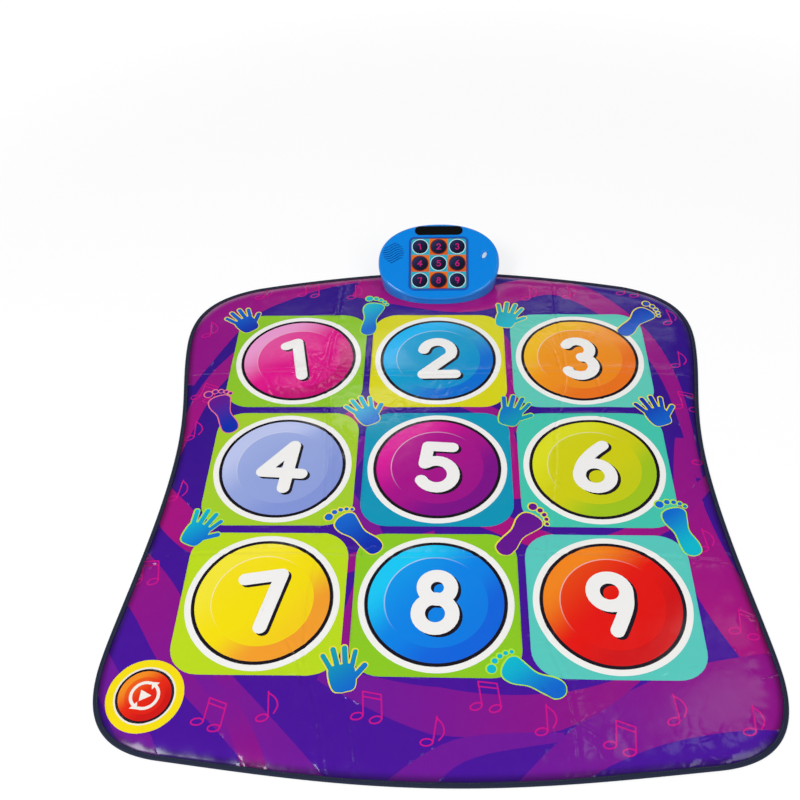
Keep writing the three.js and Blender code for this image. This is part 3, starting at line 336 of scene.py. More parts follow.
def walked(line: Points) -> Points:
    """Returns how far along a line each of its points lies."""
    return np.concatenate([[0], np.cumsum(np.linalg.norm(np.diff(line, axis=0), axis=1))])


def points_along(line: Points, places: Points) -> Points:
    """Returns the points that lie that far along a line."""
    along = walked(line)
    return np.stack([np.interp(places, along, line[:, k]) for k in (0, 1)], axis=1)


def stroke(points: Sequence, width: float, cap_steps: int = 7) -> Points:
    """Outlines a line drawn with a round pen.

    Args:
        points: The middle line.
        width: The width of the line.
        cap_steps: Steps round each end.

    Returns:
        The anticlockwise outline.
    """
    line = np.asarray(points, float)
    step = unit(np.diff(line, axis=0))
    normal = left_of(step)
    joint = np.vstack([normal[:1], normal[:-1] + normal[1:], normal[-1:]])
    joint /= np.maximum(np.linalg.norm(joint, axis=1, keepdims=True), 1e-6)
    near = np.vstack([normal, normal[-1:]])
    reach = np.maximum((joint * near).sum(axis=1, keepdims=True), 0.6)
    offset = joint * (width / 2) / reach
    caps = []
    for end, way in ((line[-1], step[-1]), (line[0], -step[0])):
        heading = math.atan2(way[1], way[0])
        turn = [heading + math.pi * (k / cap_steps - 0.5) for k in range(1, cap_steps)]
        caps.append(np.array([end + width / 2 * np.array([math.cos(a), math.sin(a)]) for a in turn]))
    return np.vstack([line - offset, caps[0], (line + offset)[::-1], caps[1]])


def ribbon(points: Sequence, widths: Sequence[float]) -> Points:
    """Outlines a band of changing width along a smooth line.

    Args:
        points: The points that the line passes through.
        widths: Widths at even distances from end to end.

    Returns:
        The outline.
    """
    line = spline(points, steps=8)
    width = np.interp(np.linspace(0, 1, len(line)), np.linspace(0, 1, len(widths)), widths)
    side = left_of(unit(np.gradient(line, axis=0))) * width[:, None] / 2
    return np.vstack([line - side, (line + side)[::-1]])


def moved(points: Points, x: float, y: float, turn: float = 0, scale: float = 1) -> Points:
    """Scales, turns and shifts points.

    Args:
        points: The points.
        x: The shift along x.
        y: The shift along y.
        turn: The turn in degrees.
        scale: The scale.

    Returns:
        The new points.
    """
    angle = math.radians(turn)
    spin = np.array([[math.cos(angle), math.sin(angle)], [-math.sin(angle), math.cos(angle)]])
    return np.asarray(points, float) @ spin * scale + (x, y)


def distance_to(points: Points, line: Points, closed: bool = False) -> tuple[Points, Points]:
    """Measures how far points lie from a line.

    Args:
        points: The points.
        line: The line's points.
        closed: Whether the line is a ring.

    Returns:
        The distances, and how far along the line the nearest place is.
    """
    start = line if closed else line[:-1]
    way = (np.roll(line, -1, axis=0) - line) if closed else np.diff(line, axis=0)
    square = (way ** 2).sum(axis=1)
    length = np.sqrt(square)
    before = np.concatenate([[0], np.cumsum(length)[:-1]])
    distance, along = np.empty(len(points)), np.empty(len(points))
    batch = 3000
    for first in range(0, len(points), batch):
        part = points[first : first + batch]
        across = part[:, None, :] - start[None]
        share = np.clip((across * way).sum(axis=2) / square, 0, 1)
        gap = ((across - share[..., None] * way) ** 2).sum(axis=2)
        nearest = gap.argmin(axis=1)
        rows = np.arange(len(part))
        distance[first : first + batch] = np.sqrt(gap[rows, nearest])
        along[first : first + batch] = before[nearest] + share[rows, nearest] * length[nearest]
    return distance, along


def encloses(outline: Points, points: Points) -> Points:
    """Tells which points lie inside an outline.

    Args:
        outline: The ring.
        points: The points.

    Returns:
        True or False for each point.
    """
    x, y = outline.T
    next_x, next_y = np.roll(x, -1), np.roll(y, -1)
    across, up = points[:, :1], points[:, 1:]
    crosses = (y > up) != (next_y > up)
    side = (next_x - x) * (up - y) / np.where(next_y == y, 1e-9, next_y - y) + x
    return (crosses & (across < side)).sum(axis=1) % 2 == 1


def grid_points(ring: Points, pitch: float) -> Points:
    """Fills the box round a ring with staggered points.

    Args:
        ring: The ring.
        pitch: How far the points lie apart.

    Returns:
        The points.
    """
    low, high = ring.min(axis=0), ring.max(axis=0)
    row_share = 0.866
    out = []
    for i, y in enumerate(np.arange(low[1], high[1], pitch * row_share)):
        x = np.arange(low[0] + (i % 2) * pitch / 2, high[0], pitch)
        out.append(np.stack([x, np.full(len(x), y)], axis=1))
    return np.vstack(out)


def smooth(share: Points) -> Points:
    """Returns a soft step of shares, held between 0 and 1."""
    share = np.clip(share, 0, 1)
    return share * share * (3 - 2 * share)


# Meshes


@contextmanager
def edited(thing: Thing) -> Iterator[bmesh.types.BMesh]:
    """Opens an object's mesh for editing, and writes it back at the end.

    Args:
        thing: The object.

    Yields:
        The open mesh.
    """
    work = bmesh.new()
    work.from_mesh(thing.data)
    yield work
    work.to_mesh(thing.data)
    work.free()


def linked(thing: Thing) -> Thing:
    """Returns an object after it is put into the scene."""
    bpy.context.scene.collection.objects.link(thing)
    return thing


def mesh_object(name: str, points: Points, faces: Sequence, materials: Sequence[Paint]) -> Thing:
    """Makes a mesh object from points in millimetres.

    Args:
        name: The object's name.
        points: Rows of x, y and z.
        faces: Rows of point numbers.
        materials: The materials, in slot order.

    Returns:
        The object, linked to the scene, with smooth faces.
    """
    mesh = bpy.data.meshes.new(name)
    mesh.from_pydata((np.asarray(points, float) * MM).tolist(), [], [list(map(int, f)) for f in faces])
    for material in materials:
        mesh.materials.append(material)
    mesh.polygons.foreach_set("use_smooth", [True] * len(mesh.polygons))
    mesh.update()
    return linked(bpy.data.objects.new(name, mesh))


def settle(thing: Thing) -> Thing:
    """Turns an object with modifiers into a plain mesh object.

    Args:
        thing: The object, whose modifiers are read and then removed.

    Returns:
        The same object.
    """
    bpy.context.view_layer.update()
    graph = bpy.context.evaluated_depsgraph_get()
    mesh = bpy.data.meshes.new_from_object(thing.evaluated_get(graph))
    thing.modifiers.clear()
    old = thing.data
    thing.data = mesh
    bpy.data.meshes.remove(old)
    mesh.name = thing.name
    return thing


def mark_edges(work: bmesh.types.BMesh, degrees: float) -> None:
    """Turns the faces outwards, and splits the shading at sharp edges.

    Args:
        work: The open mesh.
        degrees: The angle from which an edge is sharp.
    """
    bmesh.ops.recalc_face_normals(work, faces=work.faces)
    limit = math.radians(degrees)
    for edge in work.edges:
        edge.smooth = len(edge.link_faces) == 2 and edge.calc_face_angle(0) < limit


def sharpen(thing: Thing, degrees: float, even: bool = False) -> Thing:
    """Splits an object's shading at its sharp edges.

    Args:
        thing: The object.
        degrees: The angle from which an edge is sharp.
        even: Whether large flat faces are kept flat in the shading, beside rounded ones.

    Returns:
        The same object.
    """
    with edited(thing) as work:
        bmesh.ops.remove_doubles(work, verts=work.verts, dist=1e-7)
        mark_edges(work, degrees)
        for face in work.faces:
            face.smooth = True
    if even:
        modifier = thing.modifiers.new("weights", "WEIGHTED_NORMAL")
        modifier.keep_sharp = True
        modifier.weight = 90
        settle(thing)
    return thing


def combine(thing: Thing, tools: Sequence[Thing], cut: Cut) -> Thing:
    """Cuts, joins or intersects a solid with others, which are then deleted.

    Args:
        thing: The solid to work on.
        tools: The other solids.
        cut: How they are combined.

    Returns:
        The solid.
    """
    for tool in tools:
        modifier = thing.modifiers.new("cut", "BOOLEAN")
        modifier.operation = cut.value
        modifier.solver = "EXACT"
        modifier.object = tool
        settle(thing)
        bpy.data.objects.remove(tool)
    return thing


def loft(name: str, rings: Sequence[Points], material: Paint, round_trip: bool = False) -> Thing:
    """Joins rings of equal length into a skin.

    Args:
        name: The object's name.
        rings: Rings of points, each anticlockwise seen from the last.
        material: The material.
        round_trip: Whether the last ring is joined to the first, or else both are closed.

    Returns:
        The object.
    """
    count = len(rings[0])
    faces = []
    for r in range(len(rings) if round_trip else len(rings) - 1):
        low, high = r * count, (r + 1) % len(rings) * count
        for i in range(count):
            j = (i + 1) % count
            faces.append((low + i, low + j, high + j, high + i))
    if not round_trip:
        faces.append(tuple(range(count - 1, -1, -1)))
        faces.append(tuple((len(rings) - 1) * count + i for i in range(count)))
    return mesh_object(name, np.vstack(rings), faces, [material])


def lifted(outline: Points, z: float | Points) -> Points:
    """Returns a flat outline as points at height z."""
    return np.column_stack([outline, np.broadcast_to(z, len(outline))])


def turned(name: str, profile: Sequence, count: int, key: str) -> Thing:
    """Returns a round piece from pairs of radius and height, in the given finish."""
    return loft(name, [lifted(circle(0, 0, radius, count), z) for radius, z in profile], SHOP.get(key))


def block(low: Sequence[float], high: Sequence[float], material: Paint) -> Thing:
    """Returns a closed block between two corners."""
    ring = rectangle(low, high)
    return loft("block", [lifted(ring, low[2]), lifted(ring, high[2])], material)


def rod(radius: float, ends: tuple, axis: str, place: tuple, material: Paint) -> Thing:
    """Makes a rod along X or Y.

    Args:
        radius: Its radius.
        ends: Where it begins and ends.
        axis: X or Y.
        place: Where it lies on the other two axes.
        material: The material.

    Returns:
        The rod.
    """
    ring = circle(0, 0, radius, 40)
    first, up = (ring[:, 0], ring[:, 1]) if axis == "X" else (ring[:, 1], ring[:, 0])
    rings = []
    for end in ends:
        columns = [first + place[0], up + place[1]]
        columns.insert(0 if axis == "X" else 1, np.full(len(ring), float(end)))
        rings.append(np.column_stack(columns))
    return loft("rod", rings, material)


def put(piece: Thing, place: Sequence[float]) -> Thing:
    """Returns a piece after its mesh is shifted to its place."""
    piece.data.transform(Matrix.Translation(Vector(place) * MM))
    return piece


def rim_edges(triangles: Points) -> list[tuple[int, int]]:
    """Finds the edges of a sheet.

    Args:
        triangles: Its triangles.

    Returns:
        The edges that only one triangle has, in that triangle's direction.
    """
    seen: dict[tuple[int, int], None] = {}
    for a, b, c in triangles.tolist():
        for edge in ((a, b), (b, c), (c, a)):
            if edge[::-1] in seen:
                del seen[edge[::-1]]
            else:
                seen[edge] = None
    return list(seen)


# Inks, and the painted shade at the seam


class InkAndShade:
    """A colour laid over a sheet, which may change from place to place. Most are printed inks; one is the
    painted shade at the seam.
    """

    def at(self, flat: Points) -> Points:
        """Works out the ink at flat points.

        Args:
            flat: The points.

        Returns:
            Rows of red, green, blue and opacity.
        """
        raise NotImplementedError


def opaque(colours: Points, cover: float = 1) -> Points:
    """Returns rows of colour with their opacity added."""
    return np.column_stack([colours, np.full(len(colours), cover)])


@dataclass(frozen=True)
class PlainInk(InkAndShade):
    """One flat printed colour."""

    colour: str
    cover: float = 1

    def at(self, flat: Points) -> Points:
        """Returns the same colour and opacity for each point."""
        return np.tile([*rgb(self.colour), self.cover], (len(flat), 1))


@dataclass(frozen=True)
class FadeInk(InkAndShade):
    """A printed colour that runs into another along a line."""

    start: str
    end: str
    start_at: tuple[float, float]
    end_at: tuple[float, float]

    def at(self, flat: Points) -> Points:
        """Works out the ink at flat points.

        Args:
            flat: The points.

        Returns:
            Rows of red, green, blue and opacity.
        """
        way = np.array(self.end_at) - self.start_at
        off = flat - self.start_at
        share = smooth((off[:, 0] * way[0] + off[:, 1] * way[1]) / (way @ way))[:, None]
        return opaque(rgb(self.start) * (1 - share) + rgb(self.end) * share)


@dataclass(frozen=True)
class ButtonInk(InkAndShade):
    """A printed round button: lighter on its upper left, darker on its lower right."""

    x: float
    y: float
    base: str
    light: str
    dark: str
    reach: float
    strength: float
    cover: float = 1

    def at(self, flat: Points) -> Points:
        """Works out the ink at flat points.

        Args:
            flat: The points.

        Returns:
            Rows of red, green, blue and opacity.
        """
        across, up = (flat - (self.x, self.y)).T
        radius = np.maximum(np.hypot(across, up), 1e-3)
        lit = (up - across) / radius / math.sqrt(2) * np.clip(radius / self.reach, 0, 1)
        base = rgb(self.base)
        colour = (base + (rgb(self.light) - base) * (smooth(lit * 1.15) * self.strength)[:, None]
                  + (rgb(self.dark) - base) * (smooth(-lit * 1.5) * self.strength)[:, None])
        return opaque(colour, self.cover)


@dataclass(frozen=True)
class PaintedSeamShade(InkAndShade):
    """Painted shade where the padded sheet dips into its seam: black, and denser towards the edge."""

    edge: Points
    reach: float = 17.0
    tape: float = 5.4
    strength: float = 0.66

    def at(self, flat: Points) -> Points:
        """Works out the painted shade at flat points.

        Args:
            flat: The points.

        Returns:
            Rows of red, green, blue and opacity.
        """
        away, _ = distance_to(flat, self.edge, True)
        # painted shade: densest at the tape, gone reach millimetres inside the edge
        dense = self.strength * smooth((self.reach - away) / (self.reach - self.tape))
        return np.column_stack([np.zeros((len(flat), 3)), dense])


@dataclass
class PrintedSheet:
    """A sheet cut into crisp printed areas, laid over a surface.

    Areas are drawn in order, each over the ones before it. The first one is
    the sheet itself.
    """

    holes: list[Points] = field(default_factory=list)
    areas: list[tuple[Points, InkAndShade]] = field(default_factory=list)

    def add(self, outline: Points, ink: InkAndShade | str) -> None:
        """Draws one more area over the others, in an ink or a flat colour."""
        self.areas.append((outline, PlainInk(ink) if isinstance(ink, str) else ink))

    def triangles(self, inner: Points) -> tuple[Points, Points, list]:
        """Cuts the sheet into triangles along every outline.

        Args:
            inner: Further points, which are used where no outline is near.

        Returns:
            The flat points, the triangles and the areas over each triangle.
        """
        outlines = [outline for outline, _ in self.areas] + self.holes
        edge = np.vstack(outlines)
        tree = KDTree(len(edge))
        for i, (x, y) in enumerate(edge):
            tree.insert((x, y, 0), i)
        tree.balance()
        clearance = 1.6
        kept = [p for p in inner if tree.find((p[0], p[1], 0))[2] > clearance]
        faces = []
        first = 0
        for outline in outlines:
            faces.append(list(range(first, first + len(outline))))
            first += len(outline)
        marks = [Vector(p) for p in [*edge, *kept]]
        flat, _, cut, _, _, owners = delaunay_2d_cdt(marks, [], faces, 0, 1e-4, True)
        holes = set(range(len(self.areas), len(outlines)))
        triangles, stacks = [], []
        for corners, owner in zip(cut, owners):
            if 0 in owner and not holes.intersection(owner):
                triangles.append(corners)
                stacks.append(tuple(sorted(owner)))
        used, numbers = np.unique(np.array(triangles), return_inverse=True)
        return np.array([tuple(flat[i]) for i in used]), numbers.reshape(-1, 3), stacks

    def colours(self, flat: Points, triangles: Points, stacks: list) -> Points:
        """Mixes the inks over each triangle.

        Args:
            flat: The flat points.
            triangles: The triangles.
            stacks: The areas over each triangle.

        Returns:
            One colour for each corner of each triangle.
        """
        groups: dict[tuple, list] = {}
        for i, stack in enumerate(stacks):
            groups.setdefault(stack, []).append(i)
        out = np.ones((len(triangles), 3, 4))
        for stack, members in groups.items():
            corners = flat[triangles[members].reshape(-1)]
            colour = np.zeros((len(corners), 3))
            for owner in stack:
                # an area may be a printed ink or the painted seam shade; both are mixed the same way
                ink = self.areas[owner][1].at(corners)
                colour = colour * (1 - ink[:, 3:]) + ink[:, :3] * ink[:, 3:]
            out[members, :, :3] = colour.reshape(-1, 3, 3)
        return out

    def build(self, name: str, inner: Points, place: Callable[[Points], Points],
              sink: Callable[[Points], Points], materials: Sequence[Paint], below: str = "#0E0C12") -> Thing:
        """Makes the printed sheet with walls down from its edges.

        Args:
            name: The object's name.
            inner: Further flat points.
            place: Turns flat points into places on the surface.
            sink: Turns edge places into the places below them.
            materials: The materials, the print's first.
            below: The colour of the walls. Its near-black default is a painted shade for the narrow gaps
                round the zones and under the tape.

        Returns:
            The object, with its colours in a colour attribute: the print, the painted shade and the colour of
            the walls.
        """
        flat, triangles, stacks = self.triangles(inner)
        points = place(flat)
        edges = rim_edges(triangles)
        rim = sorted({vertex for edge in edges for vertex in edge})
        lower = {vertex: len(points) + i for i, vertex in enumerate(rim)}
        walls = [(b, a, lower[a], lower[b]) for a, b in edges]
        points = np.vstack([points, sink(points[rim])])
        thing = mesh_object(name, points, [*triangles.tolist(), *walls], materials)
        # the colour attribute holds the print and the painted shade together
        ink = thing.data.color_attributes.new(name="InkAndShade", type="FLOAT_COLOR", domain="CORNER")
        printed = self.colours(flat, triangles, stacks).reshape(-1, 4)
        # the walls take one flat colour; the near-black default is painted shade for the gaps
        plain = np.tile(linear(below), (len(walls) * 4, 1))
        ink.data.foreach_set("color", np.vstack([printed, plain]).ravel())
        return thing


# Shapes that the print is drawn with

NUMERAL_STROKES: dict[int, list] = {
    1: [[(-25, 31), (-6, 41)], [(-6, 41), (10, -42)]],
    2: [arc(-1, 18, 24, 172, -25) + [(-25, -39)], [(-25, -39), (29, -38)]],
    3: [arc(-2, 21, 21, 150, -72), arc(-1, -19, 23, 78, -152)],
    4: [[(15, 42), (-30, -12)], [(-30, -12), (31, -15)], [(15, 42), (6, -43)]],
    5: [[(24, 39), (-14, 41)], [(-14, 41), (-19, 5)], arc(-1, -15, 26, 126, -152)],
    6: [spline([(17, 43), (-2, 26), (-17, 6), (-24, -15)]),
        arc(0, -17, 24, 180, 0), arc(0, -17, 24, 0, -180)],
    7: [[(-28, 32), (23, 41)], [(23, 41), (2, -43)]],
    8: [arc(2, 22, 19, 270, 90), arc(2, 22, 19, 90, -90),
        arc(-1, -19, 23.5, 90, 270), arc(-1, -19, 23.5, -90, 90)],
    9: [arc(-2, 18, 23, 0, 180), arc(-2, 18, 23, 180, 360),
        spline([(21, 18), (19, -3), (11, -24), (2, -43)])],
}
PALM = [(-16, -30), (0, -34), (15, -30), (20, -8), (17, 9), (0, 12), (-18, 9), (-21, -9)]
FINGERS = [
    ((-14, 2), (-24, 30), 4.7), ((-5, 4), (-8, 38), 5.0), ((6, 4), (9, 37), 5.0),
    ((14, 1), (24, 28), 4.5), ((12, -16), (34, 3), 5.2),
]
SOLE = [
    (0, -55), (13, -49), (16, -33), (11, -9), (17, 14), (20, 28), (12, 37), (-6, 38),
    (-18, 31), (-20, 15), (-13, -7), (-14, -31), (-12, -48),
]
TOES = [(-14, 49.5, 7.6), (-1, 51, 5.3), (9, 48, 4.7), (17, 43, 4.3), (23, 36.5, 3.9)]


def numeral(digit: int, x: float, y: float, scale: float = 1, width: float = 19.5) -> list:
    """Returns the strokes of a numeral as outlines."""
    return [stroke(moved(line, x, y, 0, scale), width * scale) for line in NUMERAL_STROKES[digit]]


def hand_shapes(grow: float) -> list:
    """Draws a spread hand.

    Args:
        grow: How far every outline is moved outwards.

    Returns:
        The overlapping outlines of palm and fingers.
    """
    palm = spline(PALM, closed=True, steps=4)
    palm = palm + unit(palm - palm.mean(axis=0)) * grow
    return [palm] + [stroke([a, b], 2 * (r + grow)) for a, b, r in FINGERS]


def foot_shapes(grow: float) -> list:
    """Returns a footprint as separate outlines, each grown by the given amount."""
    sole = grown(spline(SOLE, closed=True, steps=4), grow)
    return [sole] + [circle(x, y, r + grow, 18) for x, y, r in TOES]


def note_strokes(double: bool) -> list:
    """Draws a music note.

    Args:
        double: Whether it is a joined pair.

    Returns:
        The pen lines.
    """
    head = [arc(0, 0, 6, 20, 200), arc(0, 0, 6, 200, 380)]
    head = [[(x * 1.25 + y * 0.3, y * 0.8) for x, y in part] for part in head]
    if not double:
        return [*head, [(8, 1), (8, 36)], spline([(8, 34), (17, 26), (20, 15), (15, 5)])]
    other = [[(x + 24, y - 6) for x, y in part] for part in head]
    return [*head, *other, [(8, 1), (8, 34)], [(32, -5), (32, 28)], [(8, 34), (32, 28)], [(8, 27), (32, 21)]]


def start_symbols(x: float, y: float) -> list:
    """Draws a play triangle inside a turning arrow.

    Args:
        x: The middle's x.
        y: The middle's y.

    Returns:
        The outlines.
    """
    radius = 18
    shapes = [np.array([(-6, -8), (9, 0), (-6, 8)], float) + (x, y)]
    shapes += [stroke(arc(x, y, radius, start, start + 150), 4.2) for start in (75, -105)]
    for degrees in (48, 228):
        a = math.radians(degrees)
        tip = np.array([(-6.5, 0), (6.5, 0), (0, 8.5)], float)
        shapes.append(moved(tip, x + radius * math.cos(a), y + radius * math.sin(a), math.degrees(a)))
    return shapes


# Outline and surface of the mat


def front_share(points: Points) -> Points:
    """Returns 0 for points behind the front of the mat, rising to 1 near its front edge."""
    start, width = 250, 180
    return smooth((-points[:, 1] - start) / width)


@dataclass
class MatOutline:
    """The edge of the mat seen from above, as shares of its reaches."""

    half_width: float
    front_reach: float
    back_reach: float
    steps: int = 60
    spacing: float = 5.0
    shares: Sequence = (
        ((0, -1), (0.28, -1), (0.527, -0.97), (0.762, -0.945)),
        ((0.762, -0.945), (0.919, -0.929), (1, -0.859), (1, -0.707)),
        ((1, -0.707), (1, -0.586), (0.928, -0.27), (0.928, 0.03)),
        ((0.928, 0.03), (0.928, 0.271), (0.98, 0.396), (0.993, 0.594)),
        ((0.993, 0.594), (1.002, 0.75), (0.942, 0.85), (0.751, 0.904)),
        ((0.751, 0.904), (0.583, 0.942), (0.269, 0.996), (0, 1)),
    )

    def curve(self) -> Points:
        """Draws the outline from its Bezier shares.

        Returns:
            The ring, anticlockwise from the middle of the front.
        """
        right = []
        for a, b, c, d in (np.array(piece) for piece in self.shares):
            for t in np.arange(self.steps) / self.steps:
                rest = 1 - t
                right.append(a * rest ** 3 + 3 * b * t * rest ** 2 + 3 * c * t * t * rest + d * t ** 3)
        right.append(np.array([0.0, 1.0]))
        half = np.array([
            (x * self.half_width, y * (self.front_reach if y < 0 else self.back_reach)) for x, y in right
        ])
        whole = np.vstack([half, (half * (-1, 1))[::-1][1:]])
        length = walked(whole)[-1]
        return points_along(whole, np.linspace(0, length, int(length / self.spacing), endpoint=False))


@dataclass
class MatSurface:
    """The top of the mat: a soft edge, waves, folds and crowned touch zones."""

    outline: Points
    zones: list[tuple[float, float, float, float]]
    top: float = 5.25
    lip: float = 1.62
    edge_start: float = 6.9
    edge_width: float = 31.0
    wave_height: float = 1.5
    gather_height: float = 1.5
    gather_lengths: Sequence[float] = (33.0, 49.0, 78.0, 127.0)
    foam_top: float = 4.85
    swell_height: float = 0.8
    swell_width: float = 16.0
    bead_height: float = 0.45
    bead_place: float = 5.0
    bead_width: float = 3.0
    fold_depth: float = 1.0
    fold_width: float = 2.2
    fold_rows: Sequence[float] = (-7.5, -4.6, -2.2, 0, 2.2, 4.6, 7.5)
    crinkle_width: float = 14.0
    crinkle_share: float = 0.6
    least_crinkle: float = 0.04
    console_centre: float = 449.5
    console_half: tuple[float, float] = (104.0, 65.5)
    console_reach: float = 1.02
    console_blend: float = 0.35
    folds: Sequence = (
        ((208, 478), (210, 340), (213, 200), (190, 90), (181, 0), (166, -100), (152, -210),
         (150, -300), (172, -380), (176, -492)),
        ((-176, 474), (-182, 330), (-190, 215), (-176, 90), (-170, 0), (-166, -110), (-176, -250),
         (-170, -340), (-150, -400), (-132, -492)),
        ((-436, 204), (-240, 211), (-120, 204), (0, 203), (220, 212), (436, 200)),
        ((-420, -168), (-200, -160), (0, -166), (210, -158), (424, -172)),
        ((262, 196), (268, 140), (259, 100)),
        ((172, 300), (196, 262), (205, 215)),
        ((-214, 243), (-190, 215), (-162, 190)),
        ((-186, 262), (-190, 215), (-206, 170)),
        ((-196, -305), (-176, -345), (-168, -372)),
        ((-120, -372), (-104, -420), (-96, -470)),
        ((140, -366), (166, -400), (208, -430)),
        ((20, 470), (26, 380)),
        ((-150, 78), (-128, 40), (-140, 8)),
    )
    crumpled: Sequence = (
        (-196, 200, 52), (206, 290, 52), (-140, -428, 46), (178, -435, 50), (-178, -340, 30),
        (190, 120, 34), (-60, 122, 34), (140, -300, 30), (-404, -190, 30), (410, -150, 30),
        (40, 180, 40), (-280, 150, 30), (330, -450, 40),
    )

    def __post_init__(self) -> None:
        """Fixes the random waves and draws the folds."""
        rng = np.random.default_rng(7)
        count = 12
        turn = rng.uniform(0, 2 * math.pi, count)
        length = rng.uniform(95, 290, count)
        self.waves = np.stack([np.cos(turn) / length, np.sin(turn) / length], axis=1) * 2 * math.pi
        self.phases = rng.uniform(0, 2 * math.pi, count)
        self.gather_phases = rng.uniform(0, 2 * math.pi, len(self.gather_lengths))
        self.fold_lines = [spline(fold, steps=8) for fold in self.folds]

    def console_share(self, points: Points) -> Points:
        """Tells how far points are from under the console.

        Args:
            points: Flat points.

        Returns:
            0 under the console, rising to 1 round it.
        """
        x = np.abs(points[:, 0]) / self.console_half[0]
        y = np.abs(points[:, 1] - self.console_centre) / self.console_half[1]
        away = (x ** SUPERELLIPSE + y ** SUPERELLIPSE) ** (1 / SUPERELLIPSE)
        return smooth((away - self.console_reach) / self.console_blend)

    def fold_distance(self, points: Points) -> Points:
        """Returns how far each point lies from the nearest fold."""
        return np.min([distance_to(points, line)[0] for line in self.fold_lines], axis=0)

    def edge_shape(self, points: Points, z: Points) -> Points:
        """Brings the surface down to the seam, with gathers along it.

        Args:
            points: Flat points.
            z: The heights without the edge.

        Returns:
            The heights.
        """
        roundness, back_share, least_ridge = 2.5, 0.35, 0.6
        swell_start, swell_reach, swell_power = 9, 42, 0.8
        foam_start, foam_slope = 19, 6
        inside, along = distance_to(points, self.outline, True)
        share = np.clip((inside - self.edge_start) / self.edge_width, 0, 1)
        z = self.lip + (z - self.lip) * (1 - (1 - share) ** roundness)
        ridge = sum(
            np.abs(np.sin(math.pi * along / length + phase)) - least_ridge
            for length, phase in zip(self.gather_lengths, self.gather_phases)
        ) / 2
        front = back_share + (1 - back_share) * front_share(points)
        swell = np.sin(math.pi * np.clip((inside - swell_start) / swell_reach, 0, 1)) ** swell_power
        z += self.gather_height * front * ridge * swell * self.console_share(points)
        return np.maximum(z, self.foam_top * smooth((inside - foam_start) / foam_slope))

    def height(self, points: Points, near_edge: bool = True) -> Points:
        """Works out the height of the printed top.

        Args:
            points: Flat points.
            near_edge: Whether any of them may lie close to the edge.

        Returns:
            The heights.
        """
        wave = np.sin(points @ self.waves.T + self.phases).sum(axis=1) / math.sqrt(len(self.waves) / 2)
        z = self.wave_height * 0.5 * (1 + np.tanh(0.8 * wave))
        apart = self.fold_distance(points)
        z += self.swell_height * np.exp(-((apart / self.swell_width) ** 2))
        bead = self.bead_height * np.exp(-(((apart - self.bead_place) / self.bead_width) ** 2))
        z += self.fold_depth * (bead - np.exp(-((apart / self.fold_width) ** 2)))
        z = self.top + z * self.console_share(points)
        if near_edge:
            z = self.edge_shape(points, z)
        for x, y, radius, crown in self.zones:
            away = np.hypot(points[:, 0] - x, points[:, 1] - y) / radius
            z += crown * np.clip(1 - away ** 4, 0, None)
        return z

    def on_top(self, points: Points) -> Points:
        """Returns flat points placed on the surface."""
        return np.column_stack([points, self.height(points)])

    def on_zone(self, points: Points) -> Points:
        """Returns flat points of a touch zone placed on the surface."""
        return np.column_stack([points, self.height(points, near_edge=False)])

    def mesh_points(self, ring: Points, pitch: float, clearance: float) -> tuple[Points, Points]:
        """Chooses inner points for a mesh that has to follow the folds.

        Args:
            ring: A ring round the mesh.
            pitch: How far the points of the grid lie apart.
            clearance: How far they keep from a fold.

        Returns:
            Rows of points along both sides of each fold, and the grid.
        """
        rows = []
        for line in self.fold_lines:
            middle = points_along(line, np.arange(1, walked(line)[-1], 4.0))
            side = left_of(unit(np.gradient(middle, axis=0)))
            rows += [middle + side * offset for offset in self.fold_rows]
        grid = grid_points(ring, pitch)
        return np.vstack(rows), grid[self.fold_distance(grid) > clearance]

    def mark_crinkles(self, piece: Thing) -> None:
        """Writes the attribute Crinkle: how crinkled the vinyl is, from 0 to 1.

        Args:
            piece: A piece of vinyl.
        """
        points = np.empty(len(piece.data.vertices) * 3)
        piece.data.vertices.foreach_get("co", points)
        flat = points.reshape(-1, 3)[:, :2] / MM
        share = self.crinkle_share * np.exp(-((self.fold_distance(flat) / self.crinkle_width) ** 2))
        for x, y, radius in self.crumpled:
            away = np.hypot(flat[:, 0] - x, flat[:, 1] - y) / radius
            share = np.maximum(share, np.exp(-away ** 2))
        layer = piece.data.attributes.new("Crinkle", "FLOAT", "POINT")
        layer.data.foreach_set("value", np.clip(share, self.least_crinkle, 1))


# Finishes


